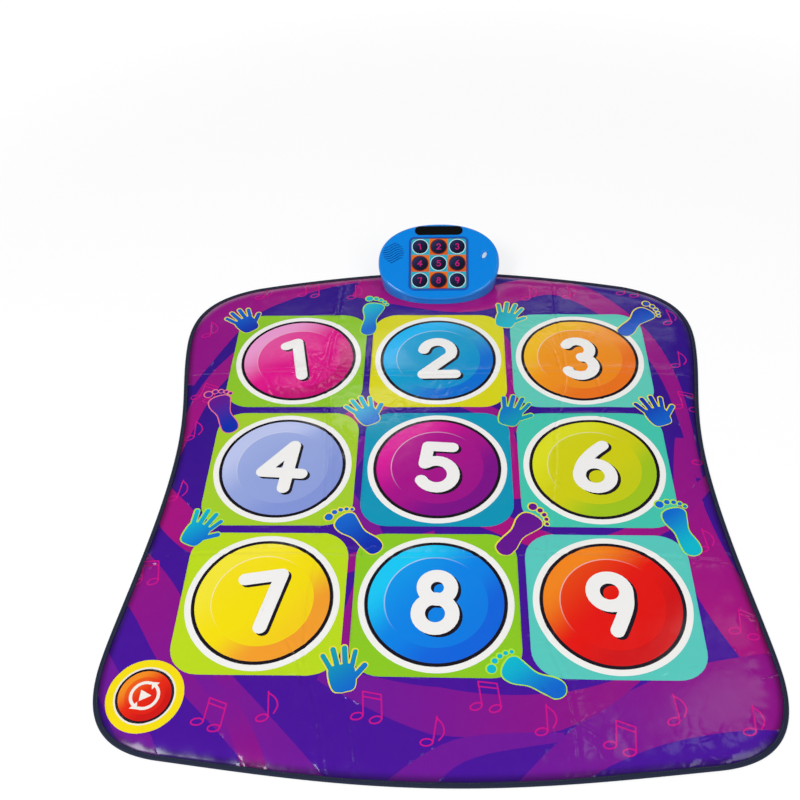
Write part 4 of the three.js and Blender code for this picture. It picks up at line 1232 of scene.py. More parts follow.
@dataclass(frozen=True)
class Finish:
    """A plain finish: colour, gloss, and a fine surface grain.

    Sizes are in millimetres, and the grain is as deep as its strength says.
    """

    name: str
    colour: str
    roughness: float
    shade: float = 0.06
    shade_size: float = 40.0
    grain_size: float = 0.9
    grain_depth: float = 0.02
    metallic: float = 0.0
    ior: float = 1.5
    coat: float = 0.0
    sheen: float = 0.0
    roughness_spread: float = 0.06

    def colour_socket(self, tree: Tree, place: Socket) -> Socket:
        """Adds the colour, in a soft uneven shade.

        Args:
            tree: The node tree.
            place: The place on the object.

        Returns:
            The colour.
        """
        base = linear(self.colour)
        dark = (*(channel * (1 - 2 * self.shade) for channel in base[:3]), 1.0)
        uneven = noise(tree, self.shade_size, 3.0, place)
        return shader(tree, "Mix", {0: uneven, 6: dark, 7: base}, 2, data_type="RGBA")

    def bump_socket(self, tree: Tree, place: Socket) -> Socket:
        """Returns the normal of the fine grain."""
        return bump(tree, 0.6, self.grain_depth, noise(tree, self.grain_size, 2.0, place))

    def build(self) -> Paint:
        """Makes the material.

        Returns:
            The material, named for the real one.
        """
        material = bpy.data.materials.new(self.name)
        tree = empty_tree(material)
        place = shader(tree, "TexCoord", output="Object")
        rough = shader(tree, "MapRange", {
            "Value": noise(tree, self.shade_size * 0.4, 2.0, place),
            "To Min": max(self.roughness - self.roughness_spread, 0.02),
            "To Max": self.roughness + self.roughness_spread,
        })
        surface = shader(tree, "BsdfPrincipled", {
            "Metallic": self.metallic, "Coat Weight": self.coat, "Sheen Weight": self.sheen,
            "Base Color": self.colour_socket(tree, place), "Roughness": rough,
            "Normal": self.bump_socket(tree, place), **({} if self.metallic else {"IOR": self.ior}),
        })
        add_node(tree, "ShaderNodeOutputMaterial", {"Surface": surface})
        return material


@dataclass(frozen=True)
class PrintFinish(Finish):
    """A finish whose colour is held in a colour attribute: the print, with any painted shade laid into it."""

    def colour_socket(self, tree: Tree, place: Socket) -> Socket:
        """Returns the colour of the attribute: print and painted shade."""
        return shader(tree, "VertexColor", layer_name="InkAndShade")


@dataclass(frozen=True)
class VinylFinish(PrintFinish):
    """Calendered PVC sheet over foam: glossy, with crinkles where it was folded."""

    crinkle_size: float = 23.0
    crinkle_depth: float = 0.52
    crinkle_width: float = 0.28
    bend_size: float = 30.0
    bend_share: float = 0.02
    ripple_size: float = 46.0
    ripple_depth: float = 0.65

    def bump_socket(self, tree: Tree, place: Socket) -> Socket:
        """Adds ripples, crinkles and the fine grain.

        Args:
            tree: The node tree.
            place: The place on the object.

        Returns:
            The normal.
        """
        ripples = bump(tree, 1.0, self.ripple_depth, noise(tree, self.ripple_size, 3.0, place))
        bend = noise(tree, self.bend_size, 2.0, place, "Color")
        bent = shader(tree, "Mix", {0: self.bend_share, 4: place, 5: bend}, 1, data_type="VECTOR")
        apart = shader(tree, "TexVoronoi", {"Scale": PER_METRE / self.crinkle_size, "Vector": bent},
                       "Distance", feature="DISTANCE_TO_EDGE")
        crease = ramp(tree, apart, (0.0, 0.0), (self.crinkle_width, 1.0))
        where = shader(tree, "Attribute", output="Fac", attribute_name="Crinkle")
        crinkles = bump(tree, 1.0, self.crinkle_depth, maths(tree, "MULTIPLY", crease, where), ripples)
        return bump(tree, 0.4, self.grain_depth, noise(tree, self.grain_size, 2.0, place), crinkles)


@dataclass(frozen=True)
class TapeFinish(Finish):
    """Woven polyester binding tape: fine ribs across its length, read from the UV map."""

    rib_size: float = 0.9
    rib_depth: float = 0.18
    yarn_size: float = 0.7
    yarn_wander: float = 1.5
    bands_per_unit: float = 20.0

    def bump_socket(self, tree: Tree, place: Socket) -> Socket:
        """Adds the ribs and the yarns across them.

        Args:
            tree: The node tree.
            place: The place on the object, which isn't used.

        Returns:
            The normal.
        """
        uv = shader(tree, "UVMap", uv_map="UVMap")
        waves = [
            shader(tree, "TexWave", {
                "Scale": PER_METRE / size / self.bands_per_unit, "Distortion": wander, "Vector": uv,
            }, "Fac", bands_direction=way)
            for way, size, wander in (("X", self.rib_size, 0.0), ("Y", self.yarn_size, self.yarn_wander))
        ]
        return bump(tree, 0.7, self.rib_depth, maths(tree, "ADD", *waves))


@dataclass(frozen=True)
class ClothFinish(Finish):
    """Needled cloth: short crossed fibres."""

    def bump_socket(self, tree: Tree, place: Socket) -> Socket:
        """Adds the fibres.

        Args:
            tree: The node tree.
            place: The place on the object.

        Returns:
            The normal.
        """
        knots = shader(tree, "TexVoronoi", {"Scale": PER_METRE / self.grain_size, "Vector": place})
        fibres = noise(tree, self.grain_size / 2.2, 4.0, place)
        return bump(tree, 0.8, self.grain_depth, maths(tree, "ADD", knots, fibres))


FINISHES: dict[str, Finish] = {
    # glossy calendered PVC: deep colour, broad soft glints along its crinkles
    "vinyl": VinylFinish("Calendered PVC sheet", "#7A1A9A", 0.19, grain_size=0.8, grain_depth=0.012),
    # woven polyester tape: dark, dull, finely ribbed
    "tape": TapeFinish("Woven polyester tape", "#08193C", 0.72, sheen=0.04, shade_size=25),
    # twisted polyester thread, a shade lighter than the tape
    "thread": Finish("Polyester thread", "#2C3A50", 0.5, grain_size=0.4, grain_depth=0.05, sheen=0.3),
    # needled polyester cloth: charcoal and matt
    "cloth": ClothFinish("Needled polyester cloth", "#2A2D33", 0.92, grain_size=1.1, grain_depth=0.12,
                         sheen=0.2),
    # soft PVC dots: black, slightly shiny
    "dots": Finish("Soft PVC dots", "#17181B", 0.5),
    # cross-linked PE foam: off white, fine open cells
    "foam": ClothFinish("Polyethylene foam", "#E9E6DC", 0.9, grain_size=1.4, grain_depth=0.1),
    # PET film: slightly milky and smooth
    "film": Finish("PET film", "#CFD8DC", 0.18, coat=0.3),
    # screen-printed carbon ink: dull black
    "carbon": Finish("Carbon ink", "#1C1C1E", 0.6),
    # screen-printed silver ink: grey with a soft metal shine
    "silver": Finish("Silver ink", "#B9BCC0", 0.38, metallic=0.6),
    # polished injection-moulded ABS: bright azure with clean reflections
    "azure": Finish("Polished azure ABS", "#008CF0", 0.16, shade=0.02, shade_size=70, grain_size=2.4,
                    grain_depth=0.01, coat=0.2, roughness_spread=0.03),
    # the same ABS in the panel's frame, a shade deeper
    "frame": Finish("Polished blue ABS", "#0A5CC8", 0.2, shade=0.02, shade_size=70, grain_size=2.4,
                    grain_depth=0.01, coat=0.3),
    # pale glossy ABS button: pale blue-white, partly its own colour and partly a painted highlight standing
    # in for the glint on it
    "pale_glint": Finish("Pale ABS with painted glint", "#CFE6FA", 0.12, shade=0.02, grain_size=2.4, grain_depth=0.006, coat=0.5),
    # moulded ABS, a darker blue, with a faint spark-eroded grain
    "navy": Finish("Dark blue ABS", "#0A3F9E", 0.36, grain_size=0.7, grain_depth=0.03),
    # polished black acrylic: deep black with sharp reflections
    "gloss_black": Finish("Black acrylic", "#0B0B0F", 0.08, shade=0.02, grain_depth=0.004, coat=0.5),
    # printed acrylic window: glossy colours behind a clear face
    "panel": PrintFinish("Printed acrylic window", "#35B0C8", 0.1, grain_size=3.0, grain_depth=0.004,
                         coat=0.5),
    # white polystyrene: satin and faintly blue
    "white": Finish("White polystyrene", "#EEF0F2", 0.3, shade=0.02),
    # glass-fibre board with solder mask: green, with a faint weave
    "board": Finish("Solder-masked board", "#1D6B3A", 0.4, grain_size=1.0, grain_depth=0.03),
    # zinc-plated steel: bright grey, brushed
    "steel": Finish("Zinc-plated steel", "#B4B7BA", 0.28, metallic=1.0, shade_size=6),
    # pressed paper cone: matt black with fibres
    "paper": ClothFinish("Pressed paper", "#202022", 0.85, grain_size=0.8, grain_depth=0.06),
    # moulded black ABS with a spark-eroded grain
    "black": Finish("Black ABS", "#17181B", 0.45, grain_size=0.7, grain_depth=0.04),
    # natural rubber: matt black
    "rubber": Finish("Rubber", "#1B1B1D", 0.85, grain_size=0.9, grain_depth=0.05),
    # printed steel jacket of a dry cell: dark and satin
    "jacket": Finish("Lacquered steel jacket", "#3A3F45", 0.33, metallic=0.2, coat=0.3),
}


class Shop:
    """Holds each material once, made when it is first asked for."""

    def __init__(self) -> None:
        """Starts with nothing made."""
        self.made: dict[str, Paint] = {}

    def get(self, key: str) -> Paint:
        """Finds the material of a finish, or makes it.

        Args:
            key: The finish.

        Returns:
            The material.
        """
        if key not in self.made:
            self.made[key] = FINISHES[key].build()
        return self.made[key]


SHOP = Shop()


# Repeats made by geometry nodes


@dataclass
class Repeater:
    """A geometry node tree that puts one small shape at many places."""

    name: str
    length: float
    width: float
    height: float
    segments: int
    rings: int
    pitch: float = 0.0

    def tree(self) -> Tree:
        """Builds the tree.

        Returns:
            The tree, with named inputs for its sizes.
        """
        tree = bpy.data.node_groups.new(self.name, "GeometryNodeTree")
        face = tree.interface
        face.new_socket(name="Places", in_out="INPUT", socket_type="NodeSocketGeometry")
        for label in ("Length", "Width", "Height", "Pitch"):
            face.new_socket(name=label, in_out="INPUT", socket_type="NodeSocketFloat")
        face.new_socket(name="Material", in_out="INPUT", socket_type="NodeSocketMaterial")
        face.new_socket(name="Geometry", in_out="OUTPUT", socket_type="NodeSocketGeometry")
        given = add_node(tree, "NodeGroupInput").outputs

        def step(kind: str, inputs: dict, **settings: object) -> bpy.types.NodeOutputs:
            """Returns the outputs of a new geometry node."""
            return add_node(tree, f"GeometryNode{kind}", inputs, **settings).outputs

        size = shader(tree, "CombineXYZ", {"X": given["Length"], "Y": given["Width"], "Z": given["Height"]})
        ball = step("MeshUVSphere", {"Segments": self.segments, "Rings": self.rings, "Radius": 0.5})
        shape = step("Transform", {"Geometry": ball["Mesh"], "Scale": size})
        copies = {"Instance": shape[0]}
        if self.pitch:
            line = step("MeshToCurve", {"Mesh": given["Places"]})
            places = step("CurveToPoints", {"Curve": line[0], "Length": given["Pitch"]}, mode="LENGTH")
            turn = add_node(tree, "FunctionNodeAlignRotationToVector", {"Vector": places["Tangent"]},
                            axis="X")
            copies |= {"Points": places["Points"], "Rotation": turn.outputs[0]}
        else:
            copies |= {"Points": given["Places"]}
        real = step("RealizeInstances", {"Geometry": step("InstanceOnPoints", copies)[0]})
        even = step("SetShadeSmooth", {"Geometry": real[0]})
        dressed = step("SetMaterial", {"Geometry": even[0], "Material": given["Material"]})
        add_node(tree, "NodeGroupOutput", {"Geometry": dressed[0]})
        return tree

    def build(self, name: str, places: Points, ring: bool, material: Paint) -> Thing:
        """Puts the shape along a ring of points, or at each point.

        Args:
            name: The object's name.
            places: The points.
            ring: Whether they form a closed line.
            material: The material of every copy.

        Returns:
            One plain mesh object.
        """
        mesh = bpy.data.meshes.new(name)
        count = len(places)
        edges = [(i, (i + 1) % count) for i in range(count)] if ring else []
        mesh.from_pydata((places * MM).tolist(), edges, [])
        thing = linked(bpy.data.objects.new(name, mesh))
        modifier = thing.modifiers.new("repeat", "NODES")
        modifier.node_group = self.tree()
        given = {
            "Length": self.length * MM, "Width": self.width * MM, "Height": self.height * MM,
            "Pitch": self.pitch * MM, "Material": material,
        }
        for item in modifier.node_group.interface.items_tree:
            if item.in_out == "INPUT" and item.name in given:
                modifier[item.identifier] = given[item.name]
        return settle(thing)


def finished(thing: Thing, slot: str, *nodes: str, body: str = Body.MAT.value) -> Thing:
    """Puts a piece on its body, and hides the nodes that it stands for.

    Args:
        thing: The piece.
        slot: The record's material slot, which is not used.
        *nodes: The nodes that it replaces.
        body: The body it rides on.

    Returns:
        The piece.
    """
    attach(thing, body)
    if nodes:
        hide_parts(*nodes)
    log.info("%s: %d faces on %s", thing.name, len(thing.data.polygons), body)
    return thing


# The mat

BLACK_LINE = "#1C1622"


@dataclass
class ZoneSpot:
    """One touch zone: its place, size and printed colours."""

    key: str
    x: float
    y: float
    radius: float
    crown: float
    plug_radius: float
    base: str
    light: str
    dark: str
    square: str

    @property
    def body(self) -> str:
        """The body that carries the zone."""
        return f"touch_{self.key}"


def zone_spots() -> list[ZoneSpot]:
    """Lays out the zones.

    Returns:
        The nine zones and the start zone with their colours.
    """
    colours = {
        "1": ("#EC0C92", "#F9A4DC", "#CE0878", "#94D028"),
        "2": ("#04A2D6", "#00BEFF", "#0074DC", "#E4E010"),
        "3": ("#FC981A", "#FFC622", "#F7781A", "#64D4C2"),
        "4": ("#9AACE8", "#C6D0FA", "#8A9CE2", "#ACD82C"),
        "5": ("#AE0C90", "#E60CA0", "#840C8E", "#049CC0"),
        "6": ("#DAD80C", "#E8EA1C", "#A8CE1C", "#46CEB6"),
        "7": ("#FFE800", "#FFF038", "#FDA42C", "#C2E41C"),
        "8": ("#0288F0", "#14D0FF", "#0A68E6", "#92D222"),
        "9": ("#F0120A", "#FF8C1C", "#DC0E12", "#5CD2C6"),
    }
    pitch = 240.0
    spots = []
    for index, (key, inks) in enumerate(colours.items()):
        spots.append(ZoneSpot(key, (index % 3 - 1) * pitch, (1 - index // 3) * pitch, 97.5, 1.3, 78, *inks))
    spots.append(ZoneSpot("start", -374, -384, 36, 0.9, 29, "#F0280E", "#FF9420", "#D81410", "#FFE60A"))
    return spots


@dataclass
class CoverPrint:
    """The printed design of the cover, with painted shade along its seam laid over it."""

    outline: Points
    spots: list[ZoneSpot]
    square_half: tuple[float, float] = (114.5, 113.3)
    square_corner: float = 42.0
    ring_radius: float = 107.5
    line_radius: float = 98.6
    start_radii: tuple[float, float, float] = (51, 40.4, 38.0)
    line_width: float = 1.9
    back_colour: str = "#35108F"
    front_colour: str = "#4C10A2"
    note_colour: str = "#DC0E8C"

    def ribbons(self, sheet: PrintedSheet) -> None:
        """Draws the bands that sweep over the background.

        Args:
            sheet: The sheet that is printed.
        """
        magenta, plum, violet = "#B00C84", "#960E8C", "#7416A0"
        bands = [
            ([(-480, 210), (-380, 400), (-230, 480), (-60, 500)], (150, 130, 70), plum, magenta),
            ([(-430, -70), (-414, 40), (-384, 170), (-330, 260), (-240, 330)], (6, 26, 34, 60),
             magenta, plum),
            ([(-150, 440), (40, 392), (210, 432), (330, 330), (385, 180), (396, -20)], (70, 60, 46, 30, 10),
             magenta, plum),
            ([(40, 470), (190, 474), (320, 452), (400, 400)], (20, 44, 40, 20), plum, violet),
            ([(-470, 30), (-410, -70), (-330, -150), (-180, -190), (0, -130)], (14, 54, 40, 20),
             magenta, plum),
            ([(-480, -150), (-400, -230), (-330, -330), (-240, -420), (-140, -520)], (70, 66, 60, 60),
             plum, violet),
            ([(-330, -330), (-262, -400), (-222, -470), (-210, -520)], (10, 26, 30, 34), violet, plum),
            ([(-470, -290), (-430, -360), (-370, -450), (-330, -520)], (16, 34, 40, 30), violet, violet),
            ([(380, 60), (372, -80), (392, -220), (440, -340)], (16, 44, 74, 60), plum, magenta),
            ([(90, -520), (210, -430), (330, -380), (470, -360)], (30, 66, 90, 110), violet, plum),
            ([(-150, -350), (0, -398), (150, -398), (260, -350)], (20, 64, 50, 10), violet, plum),
            ([(-60, -520), (30, -450), (160, -430)], (50, 30, 10), violet, violet),
            ([(-160, 80), (-90, 140), (0, 160), (150, 70)], (30, 36, 30, 26), magenta, plum),
            ([(90, 330), (130, 200), (110, 90), (130, -60)], (24, 40, 20, 30), plum, magenta),
            ([(-110, 60), (-140, -40), (-90, -150), (-130, -330)], (24, 20, 34, 30), violet, plum),
            ([(60, -90), (200, -150), (330, -100), (430, 0)], (40, 30, 36, 12), magenta, plum),
        ]
        for points, widths, start, end in bands:
            sheet.add(ribbon(points, widths), FadeInk(start, end, points[0], points[-1]))

    def notes(self, sheet: PrintedSheet) -> None:
        """Draws outlined music notes along the borders.

        Args:
            sheet: The sheet that is printed.
        """
        places = [
            (-412, 302, False, 6), (-404, 150, True, -8), (-398, 60, False, 4), (-402, -62, False, -6),
            (-424, -210, True, 10), (-300, -418, True, -6), (-218, -412, False, 6), (-98, -408, True, 4),
            (-10, -440, False, -8), (52, -392, True, 8), (132, -424, False, 0), (214, -440, True, -6),
            (296, -408, False, 6), (386, -420, False, -4), (396, -280, True, -6), (398, 12, False, -6),
            (388, 128, True, 6), (398, 222, False, -4), (402, 330, False, 8), (330, 412, True, -4),
            (232, 402, False, 6), (158, 398, False, -2), (-330, 404, False, -6), (-252, 412, True, 6),
            (-160, 404, False, 4), (378, -150, False, 6),
        ]
        ink = PlainInk(self.note_colour, 0.85)
        for x, y, double, turn in places:
            for line in note_strokes(double):
                sheet.add(stroke(moved(line, x, y, turn, 0.98), 2.1, 4), ink)

    def squares(self, sheet: PrintedSheet) -> None:
        """Draws each square, its white ring and the black line round its disc.

        Args:
            sheet: The sheet that is printed.
        """
        for spot in self.spots:
            place = (spot.x, spot.y)
            if spot.key == "start":
                square, ring, line = (circle(*place, r, n) for r, n in zip(self.start_radii, (72, 64, 64)))
                white = "#F6F2E6"
            else:
                square = rounded_rectangle(*place, *self.square_half, self.square_corner)
                ring, line = (circle(*place, r, 128) for r in (self.ring_radius, self.line_radius))
                white = "#FCFBF8"
            for outline, colour in ((square, spot.square), (ring, white), (line, BLACK_LINE)):
                sheet.add(outline, colour)

    def motifs(self, sheet: PrintedSheet) -> None:
        """Draws hands and feet between the squares: a coloured line round each filled shape.

        Args:
            sheet: The sheet that is printed.
        """
        blue, deep, cyan, teal, plum = "#0A6AD8", "#0A2FB4", "#00C2D8", "#0AA6B8", "#6A1496"
        yellow, lime, pink = "#F4E83A", "#B8F03A", "#F87A9A"
        places = [
            (Motif.HAND, -348, 338, 38, blue, deep, yellow), (Motif.FOOT, -120, 352, -8, cyan, blue, lime),
            (Motif.HAND, 122, 350, -14, teal, cyan, yellow), (Motif.FOOT, 350, 338, -42, deep, blue, yellow),
            (Motif.FOOT, -352, 118, 24, plum, deep, pink), (Motif.HAND, -118, 116, 30, cyan, blue, yellow),
            (Motif.HAND, 120, 116, -18, blue, teal, lime), (Motif.HAND, 350, 116, 20, deep, blue, yellow),
            (Motif.HAND, -350, -120, -24, cyan, blue, lime), (Motif.FOOT, -118, -122, 44, blue, deep, yellow),
            (Motif.FOOT, 122, -120, -40, plum, plum, yellow), (Motif.FOOT, 352, -112, 14, blue, cyan, lime),
            (Motif.HAND, -122, -346, 12, teal, blue, yellow), (Motif.FOOT, 120, -350, 62, cyan, blue, lime),
        ]
        for kind, x, y, turn, start, end, line in places:
            shapes, size = (hand_shapes, 0.9) if kind is Motif.HAND else (foot_shapes, 0.94)
            fill = FadeInk(start, end, (x - 22, y + 30), (x + 22, y - 30))
            for grow, off, ink in ((self.line_width / 2, 0, line), (-self.line_width / 2, 0.4, fill)):
                for outline in shapes(grow):
                    sheet.add(moved(outline, x + off, y - off, turn, size), ink)

    def sheet(self) -> PrintedSheet:
        """Draws the whole cover, and the painted shade along its seam.

        Returns:
            The printed cover, with a hole at each zone.
        """
        sheet = PrintedSheet([circle(s.x, s.y, s.radius + HOLE_GAP, 96) for s in self.spots])
        sheet.add(self.outline, FadeInk(self.front_colour, self.back_colour, (0, -500), (0, 300)))
        self.ribbons(sheet)
        self.notes(sheet)
        self.squares(sheet)
        self.motifs(sheet)
        # painted shade: black laid over the print, denser towards the tape, where the padded sheet dips into
        # the seam
        sheet.add(self.outline, PaintedSeamShade(self.outline))
        return sheet


@dataclass(frozen=True)
class Layer:
    """One flat layer inside the mat: what it stands for, its finish and its place in the stack."""

    name: str
    node: str
    slot: str
    finish: str
    set_in: float
    low: float
    high: float
    round_edge: float = 0.0


def open_ring(work: bmesh.types.BMesh) -> list[bmesh.types.BMVert]:
    """Walks round the one opening of a mesh.

    Args:
        work: The open mesh.

    Returns:
        The vertices along the opening, in order.
    """
    edge = next(e for e in work.edges if len(e.link_faces) == 1)
    ring = [edge.verts[0]]
    while (following := edge.other_vert(ring[-1])) is not ring[0]:
        ring.append(following)
        edge = next(e for e in following.link_edges if e is not edge and len(e.link_faces) == 1)
    return ring


@dataclass
class Mat:
    """The padded mat: cover, zones, binding, foam and backing."""

    outline: MatOutline
    spots: list[ZoneSpot]
    edge_rows: Sequence[float] = (4, 7, 9.5, 12.5, 16, 20, 24, 28.5, 33.5, 39)
    grid_pitch: float = 5.2
    grid_set_in: float = 42.0
    fold_set_in: float = 14.0
    fold_clearance: float = 9.5
    zone_pitch: float = 4.2
    zone_clearance: float = 9.0
    cover_set_in: float = 1.4
    film_set_in: float = 26.2
    backing_set_in: float = 2.4
    foam_top: float = 4.85
    disc_radius: float = 93.6
    disc_line: tuple[float, float] = (71.5, 69.9)
    start_radii: tuple[float, float] = (34.8, 26)
    shadow_shift: tuple[float, float] = (4.3, -3.6)
    tape_width: float = 6.9
    tape_sway: Sequence = ((0.35, 31, 0), (0.25, 12.3, 1), (0.16, 5.1, 2))
    tape_lift: Sequence = ((0.16, 9.2, 0.5), (0.1, 4.3, 0))
    tape_calm: float = 0.45
    stitch_set_in: float = 5.3
    stitch_pitch: float = 3.6
    dot_pitch: float = 14.0
    dot_set_in: float = 18.0

    def __post_init__(self) -> None:
        """Works out the outline and the surface."""
        self.edge = self.outline.curve()
        self.surface = MatSurface(self.edge, [(s.x, s.y, s.radius, s.crown) for s in self.spots])

    def inset(self, distance: float) -> Points:
        """Returns the edge moved inwards."""
        return grown(self.edge, -distance)

    def inside(self, points: Points, distance: float) -> Points:
        """Returns those points that lie further inside the edge than a distance."""
        return points[distance_to(points, self.edge, True)[0] > distance]

    def flat_size(self, set_in: float) -> tuple[float, float]:
        """Returns the width and depth in metres of a layer that lies set_in inside the edge."""
        width, depth = np.ptp(self.inset(set_in), axis=0) * MM
        return float(width), float(depth)

    def flat_area(self, set_in: float) -> float:
        """Returns the area in square metres of a layer that lies set_in inside the edge."""
        x, y = self.inset(set_in).T
        return abs((x * np.roll(y, -1) - y * np.roll(x, -1)).sum()) / 2 * MM * MM

    def cover(self) -> Thing:
        """Builds the printed cover.

        Returns:
            The cover.
        """
        start = self.inset(self.cover_set_in)
        rings = [self.inset(distance) for distance in self.edge_rows]
        rows, grid = self.surface.mesh_points(start, self.grid_pitch, self.fold_clearance)
        inner = np.vstack([*rings, self.inside(rows, self.fold_set_in), self.inside(grid, self.grid_set_in)])

        def wall_below(rim: Points) -> Points:
            """Returns the foot of each wall: a thickness down at the edge, in the foam at the zones."""
            thickness, edge_top, in_foam = 0.3, 2.6, 3.0
            return lifted(rim[:, :2], np.where(rim[:, 2] < edge_top, rim[:, 2] - thickness, in_foam))

        piece = CoverPrint(start, self.spots).sheet().build(
            "cover_sheet", inner, self.surface.on_top, wall_below, [SHOP.get("vinyl")])
        self.surface.mark_crinkles(piece)
        return finished(piece, "printed_vinyl", "printed_cover")

    def zone_print(self, spot: ZoneSpot) -> PrintedSheet:
        """Draws one zone's disc and its numeral.

        Args:
            spot: The zone.

        Returns:
            The printed disc.
        """
        sheet = PrintedSheet()
        place = (spot.x, spot.y)
        shades = (*place, spot.base, spot.light, spot.dark)
        sheet.add(circle(*place, spot.radius, 96), BLACK_LINE)
        if spot.key == "start":
            outer, inner = self.start_radii
            sheet.add(circle(*place, outer, 64), ButtonInk(*shades, 34, 1.0))
            sheet.add(circle(*place, inner, 48), ButtonInk(*shades, inner, 0.35))
            marks = [(start_symbols(*place), "#FBF6EE")]
        else:
            outer, inner = self.disc_line
            line = ButtonInk(*place, spot.base, "#FFFFFF", spot.base, 58, 0.5, 0.8)
            sheet.add(circle(*place, self.disc_radius, 112), ButtonInk(*shades, 88, 1.0))
            sheet.add(circle(*place, outer, 96), line)
            sheet.add(circle(*place, inner, 96), ButtonInk(*shades, 110, 0.3))
            digit = int(spot.key)
            shadow = numeral(digit, spot.x + self.shadow_shift[0], spot.y + self.shadow_shift[1])
            marks = [(shadow, BLACK_LINE), (numeral(digit, *place), "#FCFBF9")]
        for outlines, colour in marks:
            for outline in outlines:
                sheet.add(outline, colour)
        return sheet

    def zone(self, spot: ZoneSpot) -> None:
        """Builds one touch zone: its disc of cover on a plug of foam.

        Args:
            spot: The zone.
        """
        node = f"touch_zone_{spot.key}"
        plug_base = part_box(node)[0].z / MM
        centre = np.array([spot.x, spot.y])
        box = rectangle(centre - spot.radius, centre + spot.radius)
        rows, grid = self.surface.mesh_points(box, self.zone_pitch, self.zone_clearance)
        inner = np.vstack([grid, rows])
        piece = self.zone_print(spot).build(
            f"zone_{spot.key}_cap", inner[np.hypot(*(inner - centre).T) < spot.radius - 1.5],
            self.surface.on_zone, lambda rim: lifted(rim[:, :2], self.foam_top),
            [SHOP.get("vinyl"), SHOP.get("foam")],
        )
        self.surface.mark_crinkles(piece)
        with edited(piece) as work:
            self.add_plug(work, spot, plug_base)
            mark_edges(work, 40)
            for face in work.faces:
                face.smooth = True
        finished(piece, "printed_vinyl", node, body=spot.body)

    def add_plug(self, work: bmesh.types.BMesh, spot: ZoneSpot, base: float) -> None:
        """Closes a disc of cover with the plug of foam below it.

        Args:
            work: The open mesh of the disc.
            spot: The zone.
            base: The height of the plug's underside.
        """
        rings = [open_ring(work)]
        for z in (self.foam_top, base):
            ring = []
            for vertex in rings[0]:
                way = Vector((vertex.co.x / MM - spot.x, vertex.co.y / MM - spot.y)).normalized()
                x, y = Vector((spot.x, spot.y)) + way * spot.plug_radius
                ring.append(work.verts.new((x * MM, y * MM, z * MM)))
            rings.append(ring)
        for low, high in zip(rings, rings[1:]):
            for i in range(-1, len(low) - 1):
                work.faces.new((low[i], low[i + 1], high[i + 1], high[i])).material_index = 1
        work.faces.new(rings[-1]).material_index = 1
        work.verts.index_update()

    def binding(self) -> Thing:
        """Builds the tape folded over the edge, which wavers a little on its upper side.

        Returns:
            The tape, with its UV map along and across it.
        """
        w = self.tape_width
        section = [
            (w, 0.3), (w - 0.3, 0.02), (1.6, 0.02), (0.45, 0.4), (0.02, 1.2), (0.4, 2.05), (1.5, 2.62),
            (3.2, 2.88), (4.8, 2.82), (6.3, 2.6), (w - 0.45, 2.36), (w, 2.15), (w - 0.3, 1.84),
            (2.2, 1.84), (1.5, 1.25), (2.2, 0.46), (w - 0.3, 0.46),
        ]
        upper_side = 1.5
        along = walked(np.vstack([self.edge, self.edge[:1]]))
        along, total = along[:-1], along[-1]
        front = self.tape_calm + (1 - self.tape_calm) * front_share(self.edge)
        sway, lift = (sum(size * np.sin(along / length + phase) for size, length, phase in waves)
                      for waves in (self.tape_sway, self.tape_lift))
        inwards = self.inset(1.0) - self.edge
        rings = []
        for set_in, z in section:
            share = set_in / w * front if z > upper_side else 0 * front
            rings.append(np.column_stack([
                self.edge + inwards * (set_in + sway * share)[:, None], z + lift * share,
            ]))
        piece = sharpen(loft("binding_strip", rings, SHOP.get("tape"), round_trip=True), 60)
        uv = piece.data.uv_layers.new(name="UVMap")
        ring_step = 1.2
        places = np.vstack([np.column_stack([along, np.full(len(along), k * ring_step)])
                            for k in range(len(rings))])
        for face in piece.data.polygons:
            marks = places[list(face.vertices)]
            if np.ptp(marks[:, 0]) > total / 2:
                marks[marks[:, 0] < total / 2, 0] += total
            for loop, mark in zip(face.loop_indices, marks):
                uv.data[loop].uv = mark * MM
        return finished(piece, "binding_tape", "edge_binding")

    def stitches(self) -> Thing:
        """Builds the seam of stitches along the tape.

        Returns:
            The seam.
        """
        repeat = Repeater("binding_stitch", 2.7, 0.62, 0.5, 8, 5, self.stitch_pitch)
        line = lifted(self.inset(self.stitch_set_in), 2.66)
        return finished(repeat.build("binding_stitches", line, True, SHOP.get("thread")), "binding_tape")

    def plate(self, layer: Layer, holes: Sequence[Points]) -> Thing:
        """Builds a flat layer of the mat with holes.

        Args:
            layer: The layer.
            holes: Outlines of the holes.

        Returns:
            The object.
        """
        outline = self.inset(layer.set_in)
        sheet = PrintedSheet(list(holes))
        sheet.add(outline, "#FFFFFF")
        flat, triangles, _ = sheet.triangles(grid_points(outline, 40))
        count = len(flat)
        faces = triangles.tolist() + (triangles[:, ::-1] + count).tolist()
        faces += [(b, a, a + count, b + count) for a, b in rim_edges(triangles)]
        points = np.vstack([lifted(flat, layer.high), lifted(flat, layer.low)])
        thing = sharpen(mesh_object(layer.name, points, faces, [SHOP.get(layer.finish)]), 40)
        if layer.round_edge:
            bevel = thing.modifiers.new("edge", "BEVEL")
            bevel.width = layer.round_edge * MM
            bevel.segments = 2
            bevel.angle_limit = math.radians(60)
            settle(thing)
        return finished(thing, layer.slot, layer.node)

